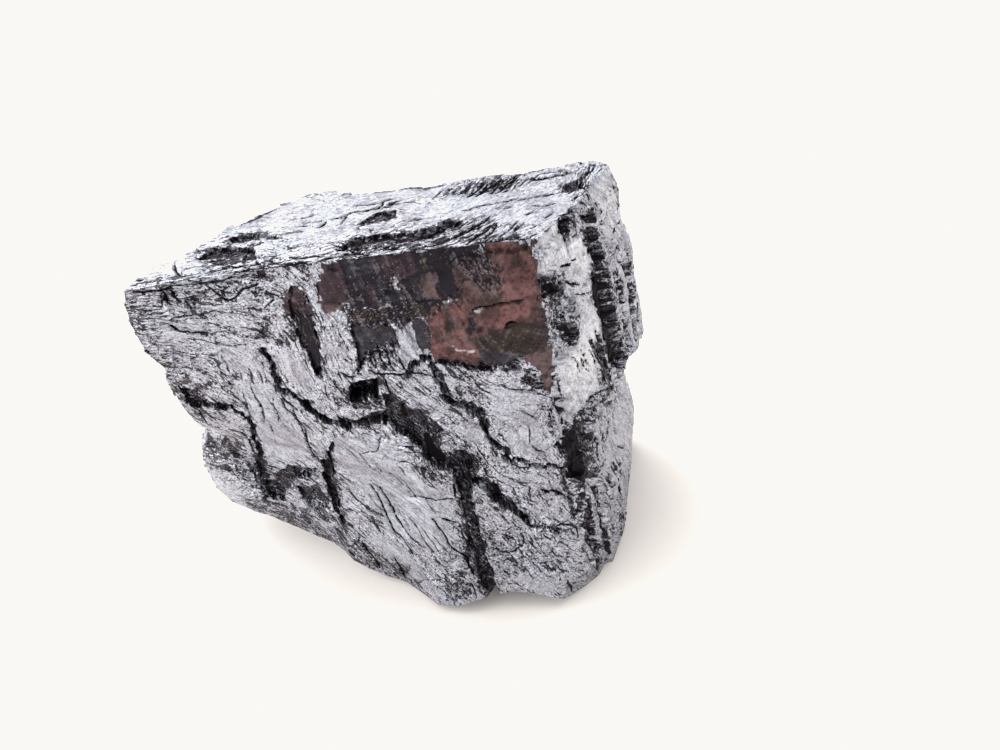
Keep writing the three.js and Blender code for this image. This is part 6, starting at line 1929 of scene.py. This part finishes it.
def add_floor():
    """A level square under the block."""
    corners = [(-FLOOR_HALF, -FLOOR_HALF, 0), (FLOOR_HALF, -FLOOR_HALF, 0),
               (FLOOR_HALF, FLOOR_HALF, 0), (-FLOOR_HALF, FLOOR_HALF, 0)]
    mesh = bpy.data.meshes.new("floor")
    mesh.from_pydata(corners, [], [(0, 1, 2, 3)])
    floor = bpy.data.objects.new("floor", mesh)
    bpy.context.scene.collection.objects.link(floor)
    s = Shader("floor")
    shader = s.node("ShaderNodeBsdfPrincipled", {"Base Color": FLOOR_COLOUR, "Roughness": 0.7})
    s.finish(shader)
    mesh.materials.append(s.material)
    return floor


def add_sky():
    """A sky that is brighter on the window's side, a little dimmer behind the block, and
    dim behind the eye, where whoever looks at the block stands. Each of these is a ramp
    of how nearly a heading points one way, and the ramps are multiplied."""
    world = bpy.data.worlds.new("studio")
    world.use_nodes = True
    tree = world.node_tree
    heading = tree.nodes.new("ShaderNodeTexCoord").outputs["Generated"]

    def part(towards, levels):
        """An S-curve of how nearly the heading points one way: its cosines, then its values."""
        along = tree.nodes.new("ShaderNodeVectorMath")
        along.operation = "DOT_PRODUCT"
        along.inputs[1].default_value = Vector(towards).normalized()
        tree.links.new(heading, along.inputs[0])
        shade = tree.nodes.new("ShaderNodeMapRange")
        shade.interpolation_type = "SMOOTHSTEP"
        for name, value in zip(("From Min", "From Max", "To Min", "To Max"), levels):
            shade.inputs[name].default_value = value
        tree.links.new(along.outputs["Value"], shade.inputs["Value"])
        return shade.outputs["Result"]

    def product(first, second):
        """Two numbers multiplied."""
        times = tree.nodes.new("ShaderNodeMath")
        times.operation = "MULTIPLY"
        tree.links.new(first, times.inputs[0])
        tree.links.new(second, times.inputs[1])
        return times.outputs[0]

    strength = product(part((0, 0, 1), (0.0, 1.0, *SKY_STRENGTH)),
                       part(SHADE_TOWARDS, (*SHADE_EDGE, 1.0, SHADE_LEFT)))
    strength = product(strength, part(BACK_TOWARDS, (*BACK_EDGE, 1.0, BACK_LEFT)))
    strength = product(strength, part(WINDOW_TOWARDS, (-1.0, 1.0, *WINDOW_GAIN)))
    background = tree.nodes["Background"]
    background.inputs["Color"].default_value = SKY_COLOUR
    tree.links.new(strength, background.inputs["Strength"])
    bpy.context.scene.world = world


def add_softbox(name, place, aim, size, power):
    """A square light at place, facing aim."""
    light = bpy.data.lights.new(name, "AREA")
    light.size = size
    light.energy = power
    lamp = bpy.data.objects.new(name, light)
    lamp.location = place
    lamp.rotation_euler = (Vector(aim) - Vector(place)).to_track_quat("-Z", "Y").to_euler()
    bpy.context.scene.collection.objects.link(lamp)
    return lamp


def set_response(white):
    """The picture's brightest value in red, green and blue: what is over 1 is held there,
    as on film that has taken all the light it can."""
    view = bpy.context.scene.view_settings
    view.view_transform = "Standard"
    view.use_curve_mapping = True
    view.curve_mapping.extend = "HORIZONTAL"
    for curve, top in zip(view.curve_mapping.curves, white):
        curve.points[-1].location = (1.0, top)
    view.curve_mapping.update()


add_floor()
add_sky()
add_softbox("overhead", (-0.5, 0.7, 1.4), (0, 0, 0.03), 1.2, 4.0)
set_response(PAPER_WHITE)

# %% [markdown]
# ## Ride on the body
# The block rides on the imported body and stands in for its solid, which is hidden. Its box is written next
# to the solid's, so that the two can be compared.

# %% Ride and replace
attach(block, "root")
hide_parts("galena_block")

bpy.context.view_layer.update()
print("took", round(time.time() - STARTED, 1), "s")
